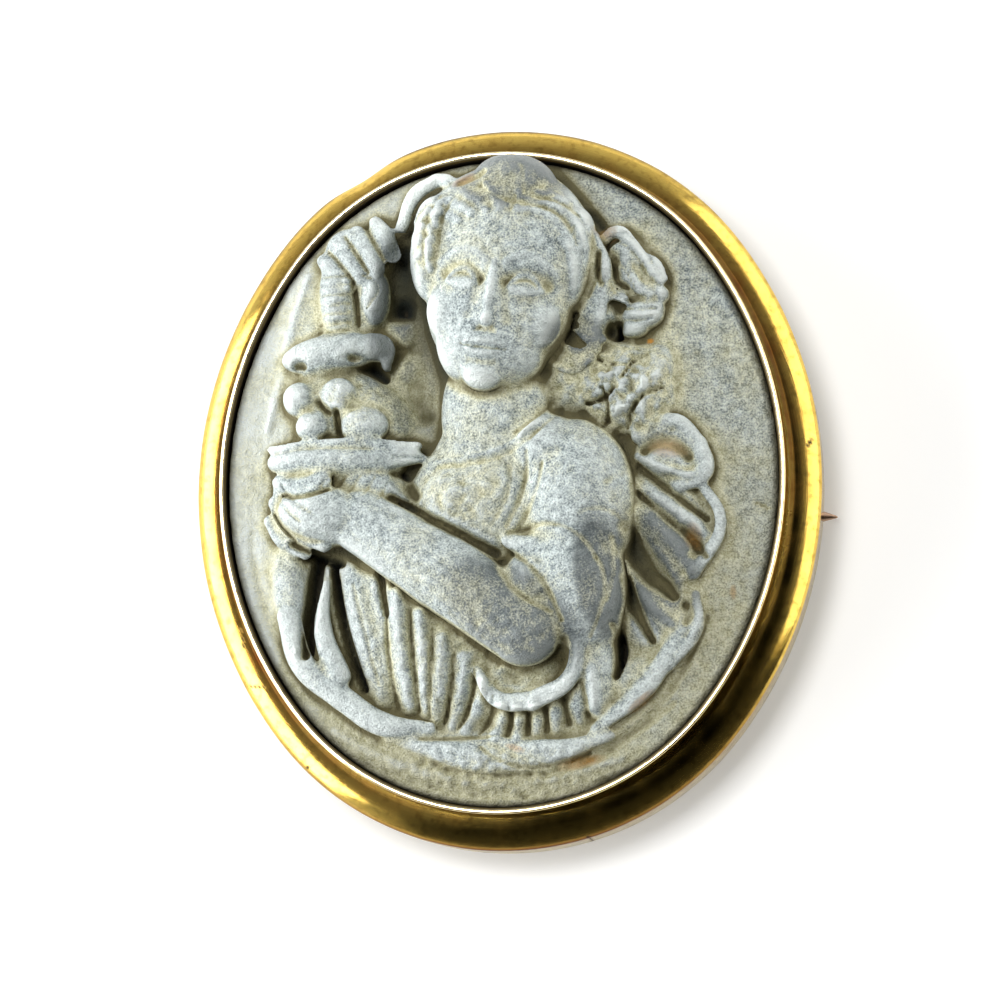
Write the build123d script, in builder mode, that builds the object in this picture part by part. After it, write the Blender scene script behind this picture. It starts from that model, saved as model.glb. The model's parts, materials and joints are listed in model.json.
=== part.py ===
from build123d import *
import math
import os

os.makedirs("parts", exist_ok=True)

# Lava cameo brooch, lying face up on its pin hinge and catch.
# Millimetres. +Z up, +Y towards the top of the cameo, origin on the surface that it
# lies on, under the middle of the oval.

# The stone: an oval of four arcs, a flat back and a slightly domed ground. The end arcs'
# radius falls short of the half width by a share of what the half length has over it.
stone_width = 35.0
stone_length = 41.2
end_shortfall = 0.516
stone_thickness = 3.4
ground_dome_height = 0.45
relief_height = 8.4

# The gold frame, as one section that runs round the stone.
stone_gap = 0.05
collar_wall = 0.40
lip_rise = 1.9
moulding_width = 1.95
moulding_drop = 1.05
moulding_bulge_height = 0.21
moulding_step = 2.05
edge_thickness = 0.3
edge_overhang = 0.12
ledge_width = 0.9
ledge_thickness = 0.4

# The dent in the frame's outer edge, upper left.
dent_angle = 114
dent_depth = 0.25
dent_radius = 5.0

# The pin, its hinge at the left and its catch at the right.
pin_line_y = -0.53
pin_slant = 3.5
stem_radius = 0.4
root_radius = 0.52
root_length = 2.0
stem_taper = 3.95
point_radius = 0.32
point_length = 0.9
tip_radius = 0.08
tip_reach = 0.65
barrel_radius = 0.85
knuckle_length = 2.24
ear_length = 2.2
side_play = 0.08
back_play = 0.05
rivet_radius = 0.4
rivet_play = 0.03
rivet_head_radius = 0.62
rivet_head_thickness = 0.18
catch_wall = 0.3
catch_width = 1.8

# The relief's grid of facets, across and along the stone, and how far each of its
# corners is worn towards its neighbours.
cells_across = 62
cells_along = 72
wear = 0.3

# Sizes that follow from the ones above.
half_width = stone_width / 2
half_length = stone_length / 2
stone_end_radius = half_width - end_shortfall * (half_length - half_width)
stone_side_radius = (
    half_width**2 + half_length**2 - 2 * half_length * stone_end_radius
) / (2 * (half_width - stone_end_radius))
back_height = 2 * barrel_radius + back_play
stone_bottom = back_height + ledge_thickness + stone_gap
stone_edge = stone_bottom + stone_thickness
lip_height = stone_edge + lip_rise
collar_outset = stone_gap + collar_wall
moulding_top = lip_height - moulding_step
edge_outset = collar_outset + moulding_width
edge_height = moulding_top - moulding_drop
skirt_outset = edge_outset - edge_overhang

# The carving is drawn on a grid of 35 parts across the stone's width, 41.2 along its
# length and 8.4 from the stone's edge to the tip of the nose.
across = stone_width / 35
along = stone_length / 41.2
rise = relief_height / 8.4

# The head's own axes: where its middle lies on the stone, and its lean in degrees.
head_x, head_y, head_lean = 0.35, 11.4, -9

# Rounded masses of the head along its own axes: name, centre across, along and height
# over the stone's edge, half width, half length and half depth.
head_masses = [
    ("skull and forehead", 0.0, 2.0, 2.2, 5.0, 5.9, 5.0),
    ("middle of the face", 0.0, -0.8, 2.3, 4.6, 4.7, 4.9),
    ("jaw", 0.0, -3.0, 3.0, 3.6, 3.5, 4.1),
    ("mouth", 0.0, -3.6, 4.8, 1.9, 1.7, 2.3),
    ("chin", 0.0, -5.4, 4.9, 1.4, 1.1, 1.9),
    ("left cheek", -2.4, -1.6, 4.2, 1.9, 2.1, 2.4),
    ("right cheek", 2.4, -1.6, 4.2, 1.9, 2.1, 2.4),
    ("hair over the skull", 0.0, 3.6, 1.7, 5.7, 4.9, 4.9),
    ("hair at the left temple", -4.6, 2.6, 2.2, 1.6, 3.5, 3.3),
    ("hair at the right temple", 4.6, 2.8, 2.2, 1.4, 3.4, 3.2),
    ("knot of hair on the crown", -0.2, 7.1, 3.2, 2.7, 1.9, 2.6),
]

# Rounded masses of the rest of the carving: the same columns on the stone's axes, and a
# turn in degrees.
masses = [
    ("neck", -0.2, 4.4, 0.4, 3.5, 5.0, 3.7, -6),
    ("collar bones", -0.3, 1.6, 0.0, 3.9, 2.4, 3.9, 0),
    ("chest", -0.6, -1.4, 0.0, 5.2, 4.6, 4.3, 0),
    ("shoulder and upper arm", 5.0, -1.5, 0.5, 3.75, 5.2, 5.1, 4),
    ("sleeve over the elbow", 4.9, -6.2, 0.8, 3.1, 5.4, 4.2, 8),
    ("arm inside the sleeve", 2.6, -7.4, 0.8, 2.0, 2.4, 3.2, 30),
    ("back of the sleeve", 5.6, -11.2, 0.2, 1.7, 4.0, 2.8, 4),
    ("back of the hand", -10.8, -2.2, 1.6, 3.2, 1.9, 3.1, -10),
    ("inside of the hem", 1.9, -12.3, -0.4, 3.2, 2.2, 2.4, 0),
    ("body under the arm", -4.2, -8.4, -1.9, 6.6, 7.4, 4.1, 20),
    ("skirt of the dress", 1.8, -12.4, -2.2, 6.8, 4.2, 3.7, 0),
    ("fruit mound", -9.8, 4.8, -0.6, 4.2, 2.6, 2.3, -16),
    ("fruit at the left", -12.6, 5.3, 1.9, 1.1, 1.1, 1.4, 0),
    ("fruit in the middle", -9.95, 5.35, 2.1, 1.2, 1.15, 1.5, 0),
    ("fruit below", -11.7, 3.5, 2.2, 1.1, 1.0, 1.4, 0),
    ("large fruit", -8.3, 3.5, 2.2, 1.5, 1.2, 1.5, 0),
    ("bowl", -10.4, 1.0, 1.0, 4.4, 1.5, 2.9, -2),
    ("foot of the bowl", -8.2, -0.2, 0.7, 3.0, 1.2, 2.2, -20),
    ("leaf over the fruit", -10.6, 8.2, 1.2, 3.3, 1.3, 2.1, 8),
    ("leaf's end", -7.9, 8.5, 1.3, 1.2, 0.9, 1.5, -10),
    ("stalk of the bunch", -10.3, 11.6, 0.6, 1.2, 3.2, 2.2, 4),
    ("scroll of the bunch", -8.0, 11.8, 0.8, 1.1, 2.1, 2.1, 0),
    ("top of the bunch", -9.1, 14.4, 0.2, 2.3, 1.9, 2.1, -35),
    ("bead in the hollow", -6.5, 9.7, -0.6, 1.2, 1.3, 1.5, 0),
    ("rock behind the shoulder", 8.0, 5.5, -0.8, 3.4, 3.1, 3.2, -20),
    ("hair behind the neck", 4.6, 6.6, -0.9, 3.3, 3.0, 2.9, 0),
    ("hair beside the jaw", 6.2, 9.8, 0.0, 1.4, 2.4, 2.3, -10),
    ("curls at the right", 8.3, 12.9, 0.0, 1.9, 2.6, 2.6, 14),
    ("knot of curls", 9.1, 10.1, 0.6, 1.5, 1.2, 2.0, 10),
    ("right drapery", 10.2, -3.4, -1.6, 3.6, 5.4, 3.0, 12),
    ("upper scroll of the drapery", 10.6, 1.2, -0.9, 2.4, 2.3, 2.5, -10),
    ("lower drapery", 9.8, -8.6, -1.4, 2.6, 3.4, 2.4, -20),
    ("right hem", 8.4, -12.8, -1.6, 3.8, 1.9, 2.4, 38),
    ("cloak at the left", -13.4, -6.4, -1.0, 1.4, 3.8, 2.3, 4),
    ("raised ground at the left", -11.4, 7.6, -0.7, 3.1, 7.8, 1.6, 8),
    ("lowest bands", -1.0, -16.8, -1.0, 7.0, 1.5, 1.7, -4),
]

# Strokes of the carving: name, the points x, y and height over the stone's edge that
# the ridge starts at, passes and ends at, and its half width at each.
strokes = [
    ("bridge of the nose", (0.55, 12.7, 6.5), (0.3, 11.0, 7.1), (0.05, 9.3, 7.6), (0.4, 0.5, 0.8)),
    ("left brow", (-0.1, 12.9, 6.3), (-1.5, 13.7, 6.0), (-3.1, 13.2, 5.0), (0.5, 0.5, 0.4)),
    ("right brow", (1.2, 12.7, 6.3), (2.7, 13.1, 6.0), (4.2, 12.0, 5.0), (0.5, 0.5, 0.4)),
    ("lips", (-1.5, 7.8, 6.3), (-0.3, 7.5, 6.9), (1.0, 7.4, 6.3), (0.3, 0.6, 0.3)),
    ("lock from the crown", (-6.1, 16.1, 1.9), (-5.2, 18.1, 2.3), (-3.8, 19.0, 2.4), (0.45, 0.6, 0.5)),
    ("lock's end", (-3.8, 19.0, 2.4), (-3.0, 18.8, 2.6), (-2.8, 17.7, 3.0), (0.5, 0.5, 0.45)),
    ("wave of hair 1", (0.6, 17.0, 5.6), (-2.2, 16.9, 4.8), (-4.6, 15.2, 3.4), (0.7, 0.8, 0.6)),
    ("wave of hair 2", (1.4, 17.0, 5.6), (4.2, 16.0, 4.8), (5.7, 13.6, 3.4), (0.7, 0.8, 0.7)),
    ("side lock", (6.1, 14.9, 2.6), (6.7, 12.9, 2.4), (6.1, 10.6, 1.9), (0.5, 0.65, 0.5)),
    ("right curl 1", (6.9, 14.9, 1.7), (8.1, 15.3, 2.1), (8.7, 14.1, 2.2), (0.4, 0.5, 0.5)),
    ("right curl 2", (8.7, 14.1, 2.2), (9.6, 12.9, 2.0), (10.2, 11.6, 1.7), (0.5, 0.6, 0.5)),
    ("right curl 3", (7.4, 14.0, 2.0), (8.2, 12.6, 2.3), (8.0, 11.2, 2.0), (0.4, 0.6, 0.5)),
    ("finger of the bunch 1", (-7.9, 16.6, 1.2), (-7.3, 15.6, 1.8), (-6.7, 14.4, 1.7), (0.5, 0.75, 0.6)),
    ("finger of the bunch 2", (-9.1, 16.0, 1.2), (-8.4, 14.9, 1.9), (-7.7, 13.5, 2.0), (0.55, 0.8, 0.6)),
    ("finger of the bunch 3", (-10.3, 15.2, 1.1), (-9.5, 14.2, 1.8), (-8.6, 12.9, 2.1), (0.55, 0.8, 0.6)),
    ("finger of the bunch 4", (-11.3, 14.3, 0.9), (-10.5, 13.5, 1.7), (-9.6, 12.4, 2.1), (0.5, 0.75, 0.6)),
    ("tip of the leaf", (-8.0, 8.9, 1.8), (-7.1, 8.6, 1.9), (-7.2, 7.3, 1.4), (0.55, 0.55, 0.4)),
    ("rim of the bowl", (-14.4, 2.1, 1.9), (-10.2, 2.3, 3.1), (-5.0, 2.1, 1.9), (0.3, 0.35, 0.3)),
    ("spout of the bowl", (-7.6, 1.3, 2.3), (-5.7, 1.5, 1.9), (-4.3, 1.2, 1.4), (0.95, 0.65, 0.2)),
    ("thumb", (-13.9, 0.0, 1.7), (-12.6, -0.5, 2.6), (-10.9, -0.2, 3.2), (0.45, 0.6, 0.6)),
    ("finger 1", (-14.2, -1.2, 1.0), (-13.2, -2.9, 1.5), (-11.0, -4.0, 1.9), (0.5, 0.55, 0.5)),
    ("finger 2", (-14.6, -2.3, 0.6), (-13.7, -3.6, 0.9), (-12.3, -4.4, 1.2), (0.45, 0.55, 0.45)),
    ("forearm", (-8.8, -3.2, 2.5), (-3.4, -6.6, 2.9), (1.8, -9.8, 2.6), (1.8, 2.1, 2.4)),
    ("edge of the neckline", (-3.6, 0.8, 3.4), (0.0, 1.2, 3.7), (2.7, 3.0, 3.6), (0.3, 0.35, 0.4)),
    ("cuff of the sleeve", (0.9, -4.3, 3.3), (4.5, -5.9, 3.4), (5.1, -10.2, 2.9), (0.5, 1.45, 0.7)),
    ("hem under the elbow", (5.3, -10.3, 2.9), (4.6, -12.8, 2.3), (2.2, -14.2, 1.9), (0.6, 0.6, 0.65)),
    ("hem's end", (2.2, -14.2, 1.9), (0.0, -14.0, 1.7), (-1.3, -12.2, 1.6), (0.65, 0.6, 0.4)),
    ("fold of the dress 1", (-10.9, -6.3, 0.7), (-11.1, -9.2, 1.0), (-10.1, -12.2, 0.9), (0.3, 0.65, 0.8)),
    ("fold of the dress 2", (-9.3, -5.4, 1.5), (-8.8, -9.2, 1.7), (-7.4, -13.8, 1.4), (0.9, 1.1, 0.8)),
    ("fold of the dress 3", (-6.3, -7.2, 1.9), (-6.1, -10.6, 1.9), (-5.7, -14.2, 1.5), (0.5, 0.6, 0.5)),
    ("fold of the dress 4", (-4.8, -8.8, 2.0), (-4.6, -11.6, 1.9), (-4.6, -14.6, 1.4), (0.5, 0.6, 0.5)),
    ("fold of the dress 5", (-3.4, -10.4, 2.0), (-3.6, -12.8, 1.8), (-4.0, -15.0, 1.3), (0.5, 0.55, 0.5)),
    ("fold of the dress 6", (-2.0, -11.6, 1.8), (-2.3, -13.6, 1.6), (-3.0, -15.4, 1.2), (0.5, 0.5, 0.4)),
    ("band at the left", (-13.4, -8.4, 0.8), (-12.5, -11.4, 0.9), (-10.0, -13.6, 0.9), (0.75, 0.8, 0.8)),
    ("band at the lower left", (-10.0, -13.6, 0.9), (-7.4, -15.3, 0.9), (-4.4, -15.6, 0.7), (0.8, 0.8, 0.4)),
    ("lowest band", (-7.2, -16.0, 0.3), (-1.6, -17.5, 0.5), (4.0, -17.9, 0.3), (0.4, 1.0, 0.4)),
    ("lens band", (-0.8, -16.4, 0.5), (2.8, -17.2, 0.7), (6.9, -16.3, 0.5), (0.3, 0.8, 0.35)),
    ("swag at the lower right", (6.0, -15.9, 0.5), (9.2, -13.2, 0.8), (12.1, -8.6, 0.6), (0.4, 0.8, 0.5)),
    ("upper scroll, top", (8.7, 2.4, 0.8), (11.0, 3.4, 0.9), (12.6, 1.9, 0.7), (0.4, 0.55, 0.55)),
    ("upper scroll, end", (12.6, 1.9, 0.7), (12.9, 0.2, 0.8), (11.2, -0.8, 0.9), (0.55, 0.6, 0.5)),
    ("middle loop", (12.6, -0.4, 0.7), (13.9, -3.0, 0.7), (12.2, -6.3, 0.7), (0.4, 0.5, 0.45)),
    ("drapery ridge 1", (8.4, 0.0, 1.5), (10.8, -2.0, 1.3), (13.0, -3.6, 0.9), (0.5, 0.5, 0.4)),
    ("drapery ridge 2", (8.4, -2.2, 1.5), (10.4, -4.1, 1.3), (11.9, -6.2, 0.9), (0.5, 0.5, 0.4)),
    ("lower loop", (12.3, -7.5, 0.6), (12.4, -9.6, 0.7), (10.6, -12.0, 0.7), (0.4, 0.5, 0.5)),
]

# Hollows sunk into the carving: name, centre x and y, half width, half length, turn in
# degrees, and the height of their floor over the stone's edge.
hollows = [
    ("gap beside the face", -6.2, 9.6, 1.0, 5.2, 4, 0.1),
    ("drilled hole by the curls", 7.4, 9.1, 0.7, 0.7, 0, -0.6),
    ("gap under the leaf", -8.2, 7.1, 1.3, 0.6, -40, 0.5),
    ("drilled hole by the leaf", -12.5, 7.5, 0.5, 0.5, 0, 0.6),
    ("left eye", -1.55, 12.1, 1.1, 0.6, -9, 5.8),
    ("right eye", 2.4, 11.45, 1.1, 0.6, -9, 5.8),
    ("gap beside the left fold", -12.0, -7.9, 0.5, 3.3, 6, 0.1),
    ("gap beside the second fold", -9.9, -9.0, 0.45, 4.2, 14, 0.1),
    ("slit under the arm", -7.4, -7.4, 0.4, 1.8, 6, 0.8),
    ("gap beside the bowl", -5.6, -0.4, 0.9, 0.9, 0, 0.8),
    ("gap over the forearm", -1.8, -3.6, 3.8, 0.5, -34, 2.4),
    ("gap inside the sleeve's hem", 4.0, -11.4, 0.9, 1.3, -45, 1.0),
    ("hollow of the upper scroll", 10.5, 1.7, 1.5, 0.9, -10, 0.5),
    ("groove between ridges", 10.8, -1.1, 0.4, 3.0, 50, 0.4),
    ("deep gap of the drapery", 9.3, -5.8, 0.9, 3.0, 34, 0.0),
    ("slit beside the sleeve", 7.4, -11.0, 0.5, 2.0, 6, 0.1),
]


def oval_line(outset):
    """Closed oval that runs at a fixed distance outside the stone's edge."""
    end_centre = half_length - stone_end_radius
    side_centre = stone_side_radius - half_width
    turn = math.degrees(math.atan2(end_centre, side_centre))
    end_radius = stone_end_radius + outset
    side_radius = stone_side_radius + outset
    CenterArc((-side_centre, 0), side_radius, 0, turn)
    CenterArc((0, end_centre), end_radius, turn, 180 - 2 * turn)
    CenterArc((side_centre, 0), side_radius, 180 - turn, 2 * turn)
    CenterArc((0, -end_centre), end_radius, 180 + turn, 180 - 2 * turn)
    CenterArc((-side_centre, 0), side_radius, 360 - turn, turn)


def edge_distance(angle):
    """Distance from the oval's middle to the stone's edge, in a direction in radians."""
    end_centre = half_length - stone_end_radius
    side_centre = stone_side_radius - half_width
    turn = math.atan2(end_centre, side_centre)
    corner = math.atan2(
        stone_side_radius * math.sin(turn),
        stone_side_radius * math.cos(turn) - side_centre,
    )
    dx, dy = abs(math.cos(angle)), abs(math.sin(angle))
    if math.atan2(dy, dx) > corner:
        offset, inside, radius = dy * end_centre, end_centre, stone_end_radius
    else:
        offset, inside, radius = -dx * side_centre, side_centre, stone_side_radius
    return offset + math.sqrt(offset**2 - inside**2 + radius**2)


def through_three(start, middle, end, share):
    """Value at a share of the way along the curve through three values."""
    return (
        start * (2 * share - 1) * (share - 1)
        + middle * 4 * share * (1 - share)
        + end * share * (2 * share - 1)
    )


def turned(dx, dy, angle):
    """An offset seen along axes that are turned by an angle in degrees."""
    c, s = math.cos(math.radians(angle)), math.sin(math.radians(angle))
    return c * dx + s * dy, c * dy - s * dx


def placed_head(mass):
    """A mass of the head moved from the head's own axes to the stone's."""
    name, head_across, head_along, *sizes = mass
    dx, dy = turned(head_across, head_along, -head_lean)
    return (name, head_x + dx, head_y + dy, *sizes, head_lean)


def stroke_spans(stroke, spans=8):
    """A stroke cut into short straight spans of x, y, height and half width."""
    name, start, middle, end, widths = stroke
    points = []
    for step in range(spans + 1):
        share = step / spans
        place = [through_three(a, b, c, share) for a, b, c in zip(start, middle, end)]
        points.append((*place, through_three(*widths, share)))
    return list(zip(points, points[1:]))


carved_masses = [placed_head(mass) for mass in head_masses] + masses
carved_spans = [span for stroke in strokes for span in stroke_spans(stroke)]


def ground_height(x, y):
    """Height of the domed ground over the stone's edge, falling to nothing at the edge."""
    reach = math.hypot(x * across / half_width, y * along / half_length)
    return ground_dome_height / rise * max(0.0, 1 - reach**4)


def carved_height(x, y):
    """Height of the carving over the stone's edge, on the grid that it is drawn on."""
    height = ground_height(x, y)
    for name, cx, cy, cz, half_x, half_y, half_z, angle in carved_masses:
        u, v = turned(x - cx, y - cy, angle)
        inside = 1 - (u / half_x) ** 2 - (v / half_y) ** 2
        if inside > 0:
            height = max(height, cz + half_z * math.sqrt(inside))
    for (x0, y0, z0, r0), (x1, y1, z1, r1) in carved_spans:
        length_squared = (x1 - x0) ** 2 + (y1 - y0) ** 2
        share = ((x - x0) * (x1 - x0) + (y - y0) * (y1 - y0)) / length_squared
        share = min(1.0, max(0.0, share))
        radius = r0 + (r1 - r0) * share
        gap = math.hypot(x - x0 - (x1 - x0) * share, y - y0 - (y1 - y0) * share)
        if gap < radius:
            height = max(height, z0 + (z1 - z0) * share + math.sqrt(radius**2 - gap**2))
    for name, cx, cy, half_x, half_y, angle, floor in hollows:
        u, v = turned(x - cx, y - cy, angle)
        depth = (u / half_x) ** 2 + (v / half_y) ** 2
        if depth < 1:
            height = min(height, floor + (height - floor) * depth**2)
    return height


def relief_corner(column, row):
    """Place of a corner of the relief's grid of facets, fitted into the oval."""
    u = 2 * column / cells_across - 1
    v = 2 * row / cells_along - 1
    p = u * math.sqrt(1 - v * v / 2)
    q = v * math.sqrt(1 - u * u / 2)
    fullness = 1.0
    if p or q:
        unit = math.hypot(p, q)
        ellipse = math.hypot(half_width * p, half_length * q) / unit
        fullness = edge_distance(math.atan2(half_length * q, half_width * p)) / ellipse
    return half_width * p * fullness, half_length * q * fullness


def worn(heights):
    """The grid's heights with each worn a little towards the middle of its neighbours'."""
    result = [list(line) for line in heights]
    for column in range(1, cells_across):
        for row in range(1, cells_along):
            beside = heights[column - 1][row] + heights[column + 1][row]
            beside += heights[column][row - 1] + heights[column][row + 1]
            kept = (1 - wear) * heights[column][row]
            result[column][row] = kept + wear * beside / 4
    return result


def stone_faces():
    """Facets of the carved front, the upright side and the flat back."""
    places = [
        [relief_corner(column, row) for row in range(cells_along + 1)]
        for column in range(cells_across + 1)
    ]
    heights = worn([[rise * carved_height(x / across, y / along) for x, y in line] for line in places])
    grid = [
        [
            Vector(*places[column][row], stone_edge + heights[column][row])
            for row in range(cells_along + 1)
        ]
        for column in range(cells_across + 1)
    ]
    facets = []
    for column in range(cells_across):
        for row in range(cells_along):
            a, b = grid[column][row], grid[column + 1][row]
            c, d = grid[column + 1][row + 1], grid[column][row + 1]
            same_sign = (2 * column + 1 - cells_across) * (2 * row + 1 - cells_along) > 0
            facets += [(a, b, c), (a, c, d)] if same_sign else [(a, b, d), (b, c, d)]
    rim = [grid[column][0] for column in range(cells_across)]
    rim += [grid[cells_across][row] for row in range(cells_along)]
    rim += [grid[column][cells_along] for column in range(cells_across, 0, -1)]
    rim += [grid[0][row] for row in range(cells_along, 0, -1)]
    back = [Vector(corner.X, corner.Y, stone_bottom) for corner in rim]
    for low, high, next_low, next_high in zip(back, rim, back[1:] + back[:1], rim[1:] + rim[:1]):
        facets.append((low, next_low, next_high, high))
    facets.append(tuple(reversed(back)))
    return [Face(Wire.make_polygon(corners, close=True)) for corners in facets]


# The stone, one carved piece.
with BuildPart() as cameo_stone:
    add(Solid(Shell(stone_faces())))
cameo_stone.part.label = "cameo_stone"
export_step(cameo_stone.part, "parts/cameo_stone.step")

# The pin's own plane: x runs along the stem to its tip, y along the hinge, z up.
slant = math.radians(pin_slant)
pin_plane = Plane(
    origin=(0, pin_line_y, barrel_radius),
    x_dir=(math.cos(slant), -math.sin(slant), 0),
    z_dir=(0, 0, 1),
)
rim_middle = half_width + (skirt_outset - ledge_width) / 2
back_rise = back_height - barrel_radius
ear_start = knuckle_length / 2 + side_play
bore_radius = rivet_radius + rivet_play


def across_hinge(start):
    """Plane across the hinge's axis, with x pointing away from the stone and y up."""
    return Plane(
        origin=pin_plane.from_local_coords((-rim_middle, start, 0)),
        x_dir=-pin_plane.x_dir,
        z_dir=pin_plane.y_dir,
    )


def across_stem(distance):
    """Plane across the stem, with x along the hinge's direction and y up."""
    return Plane(
        origin=pin_plane.from_local_coords((distance, 0, 0)),
        x_dir=pin_plane.y_dir,
        z_dir=pin_plane.x_dir,
    )


# The gold frame: one section swept round the stone, with the hinge ears and the catch.
section_plane = Plane(origin=(half_width, 0, 0), x_dir=(1, 0, 0), z_dir=(0, -1, 0))
dent_place = edge_distance(math.radians(dent_angle)) + edge_outset + dent_radius - dent_depth
with BuildPart() as bezel_frame:
    with BuildLine() as stone_edge_line:
        oval_line(0)
    with BuildSketch(section_plane) as frame_section:
        with BuildLine() as frame_outline:
            Polyline(
                (collar_outset, moulding_top),
                (collar_outset, lip_height - collar_wall / 2),
            )
            ThreePointArc(
                (collar_outset, lip_height - collar_wall / 2),
                (stone_gap + collar_wall / 2, lip_height),
                (stone_gap, lip_height - collar_wall / 2),
            )
            Polyline(
                (stone_gap, lip_height - collar_wall / 2),
                (stone_gap, back_height + ledge_thickness),
                (-ledge_width, back_height + ledge_thickness),
                (-ledge_width, back_height),
                (skirt_outset, back_height),
                (skirt_outset, edge_height - edge_thickness),
                (edge_outset, edge_height - edge_thickness),
                (edge_outset, edge_height),
            )
            chord = Vector(moulding_width, -moulding_drop)
            bulge = Vector(moulding_drop, moulding_width).normalized() * moulding_bulge_height
            ThreePointArc(
                (edge_outset, edge_height),
                Vector(collar_outset, moulding_top) + chord / 2 + bulge,
                (collar_outset, moulding_top),
            )
        make_face()
    sweep(path=stone_edge_line.wires()[0])
    for start in (-ear_start - ear_length, ear_start):
        with BuildSketch(across_hinge(start)):
            Circle(barrel_radius)
            with Locations((0, back_rise / 2)):
                Rectangle(2 * barrel_radius, back_rise)
        extrude(amount=ear_length)
        with BuildSketch(across_hinge(start)):
            Circle(bore_radius)
        extrude(amount=ear_length, mode=Mode.SUBTRACT)
    with BuildSketch(across_stem(rim_middle - catch_width / 2)):
        Circle(barrel_radius)
        with Locations((barrel_radius / 2, back_rise / 2)):
            Rectangle(barrel_radius, back_rise)
        Circle(barrel_radius - catch_wall, mode=Mode.SUBTRACT)
        with Locations((-barrel_radius / 2, back_rise / 2)):
            Rectangle(barrel_radius, back_rise, mode=Mode.SUBTRACT)
    extrude(amount=catch_width)
    with BuildSketch(Plane.XY.offset(back_height)):
        with PolarLocations(dent_place, 1, start_angle=dent_angle):
            Circle(dent_radius)
    extrude(amount=moulding_top - back_height, mode=Mode.SUBTRACT)
bezel_frame.part.label = "bezel_frame"
export_step(bezel_frame.part, "parts/bezel_frame.step")

# The pin: a knuckle on the rivet, a thicker root, and a stem that tapers to its tip
# past the edge.
tip_distance = half_width + edge_outset + tip_reach
knuckle_radius = barrel_radius - back_play
with BuildPart() as brooch_pin:
    with BuildSketch(across_hinge(-knuckle_length / 2)):
        Circle(knuckle_radius)
    extrude(amount=knuckle_length)
    with BuildSketch(Plane(pin_plane.origin, x_dir=pin_plane.x_dir, z_dir=-pin_plane.y_dir)):
        with BuildLine():
            Polyline(
                (-rim_middle, 0),
                (-rim_middle, root_radius),
                (-rim_middle + root_length, stem_radius),
                (tip_distance - stem_taper, stem_radius),
                (tip_distance - point_length, point_radius),
                (tip_distance - tip_radius, tip_radius),
                (tip_distance, 0),
                close=True,
            )
        make_face()
    revolve(axis=Axis(pin_plane.origin, pin_plane.x_dir))
    with BuildSketch(across_hinge(-knuckle_length / 2)):
        Circle(bore_radius)
    extrude(amount=knuckle_length, mode=Mode.SUBTRACT)
brooch_pin.part.label = "brooch_pin"
export_step(brooch_pin.part, "parts/brooch_pin.step")

# The rivet that the pin turns on, with a low head outside each ear.
rivet_half_length = ear_start + ear_length + rivet_play
with BuildPart() as hinge_rivet:
    with BuildSketch(across_hinge(-rivet_half_length)):
        Circle(rivet_radius)
    extrude(amount=2 * rivet_half_length)
    for start in (-rivet_half_length - rivet_head_thickness, rivet_half_length):
        with BuildSketch(across_hinge(start)):
            Circle(rivet_head_radius)
        extrude(amount=rivet_head_thickness)
hinge_rivet.part.label = "hinge_rivet"
export_step(hinge_rivet.part, "parts/hinge_rivet.step")
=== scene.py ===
import json
import math

import bpy
import numpy as np
from mathutils import Matrix, Vector, noise


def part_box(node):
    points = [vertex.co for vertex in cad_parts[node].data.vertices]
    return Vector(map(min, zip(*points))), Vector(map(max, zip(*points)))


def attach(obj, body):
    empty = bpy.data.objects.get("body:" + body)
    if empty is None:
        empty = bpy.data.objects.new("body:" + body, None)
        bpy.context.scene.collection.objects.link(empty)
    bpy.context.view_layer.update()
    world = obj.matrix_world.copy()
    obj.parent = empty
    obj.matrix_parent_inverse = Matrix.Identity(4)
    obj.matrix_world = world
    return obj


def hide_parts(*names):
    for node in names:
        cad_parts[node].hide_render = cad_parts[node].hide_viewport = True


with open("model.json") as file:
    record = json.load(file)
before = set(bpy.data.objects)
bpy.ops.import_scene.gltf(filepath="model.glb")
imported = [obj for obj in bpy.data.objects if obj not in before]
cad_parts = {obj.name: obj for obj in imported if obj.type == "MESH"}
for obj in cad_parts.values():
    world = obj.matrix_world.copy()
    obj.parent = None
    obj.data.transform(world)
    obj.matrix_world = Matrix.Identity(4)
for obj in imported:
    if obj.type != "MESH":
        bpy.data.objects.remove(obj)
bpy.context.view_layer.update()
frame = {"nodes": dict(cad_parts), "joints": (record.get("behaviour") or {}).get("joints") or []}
bpy.ops.object.select_all(action="DESELECT")


# The table and the light: a sheet of white paper on a lit table, a window at the left, a
# white wall at the right, a skylight, and a room that is dark where the photographer
# stands and where the phone is held.
MM = 0.001


def linear(hex_colour):
    """An sRGB hex colour as linear RGBA."""
    parts = [int(hex_colour[i : i + 2], 16) / 255 for i in (0, 2, 4)]
    return (*[c / 12.92 if c <= 0.04045 else ((c + 0.055) / 1.055) ** 2.4 for c in parts], 1.0)


def new_material(name):
    """An empty node material and its Principled shader."""
    material = bpy.data.materials.new(name)
    material.use_nodes = True
    return material, material.node_tree.nodes["Principled BSDF"]


def add_node(tree, kind, links=(), **settings):
    """Adds a node; settings are its properties, links are (input, value or output socket)."""
    node = tree.nodes.new(kind)
    for name, value in settings.items():
        setattr(node, name, value)
    for socket, value in links:
        if isinstance(value, bpy.types.NodeSocket):
            tree.links.new(value, node.inputs[socket])
        else:
            node.inputs[socket].default_value = value
    return node


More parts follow.
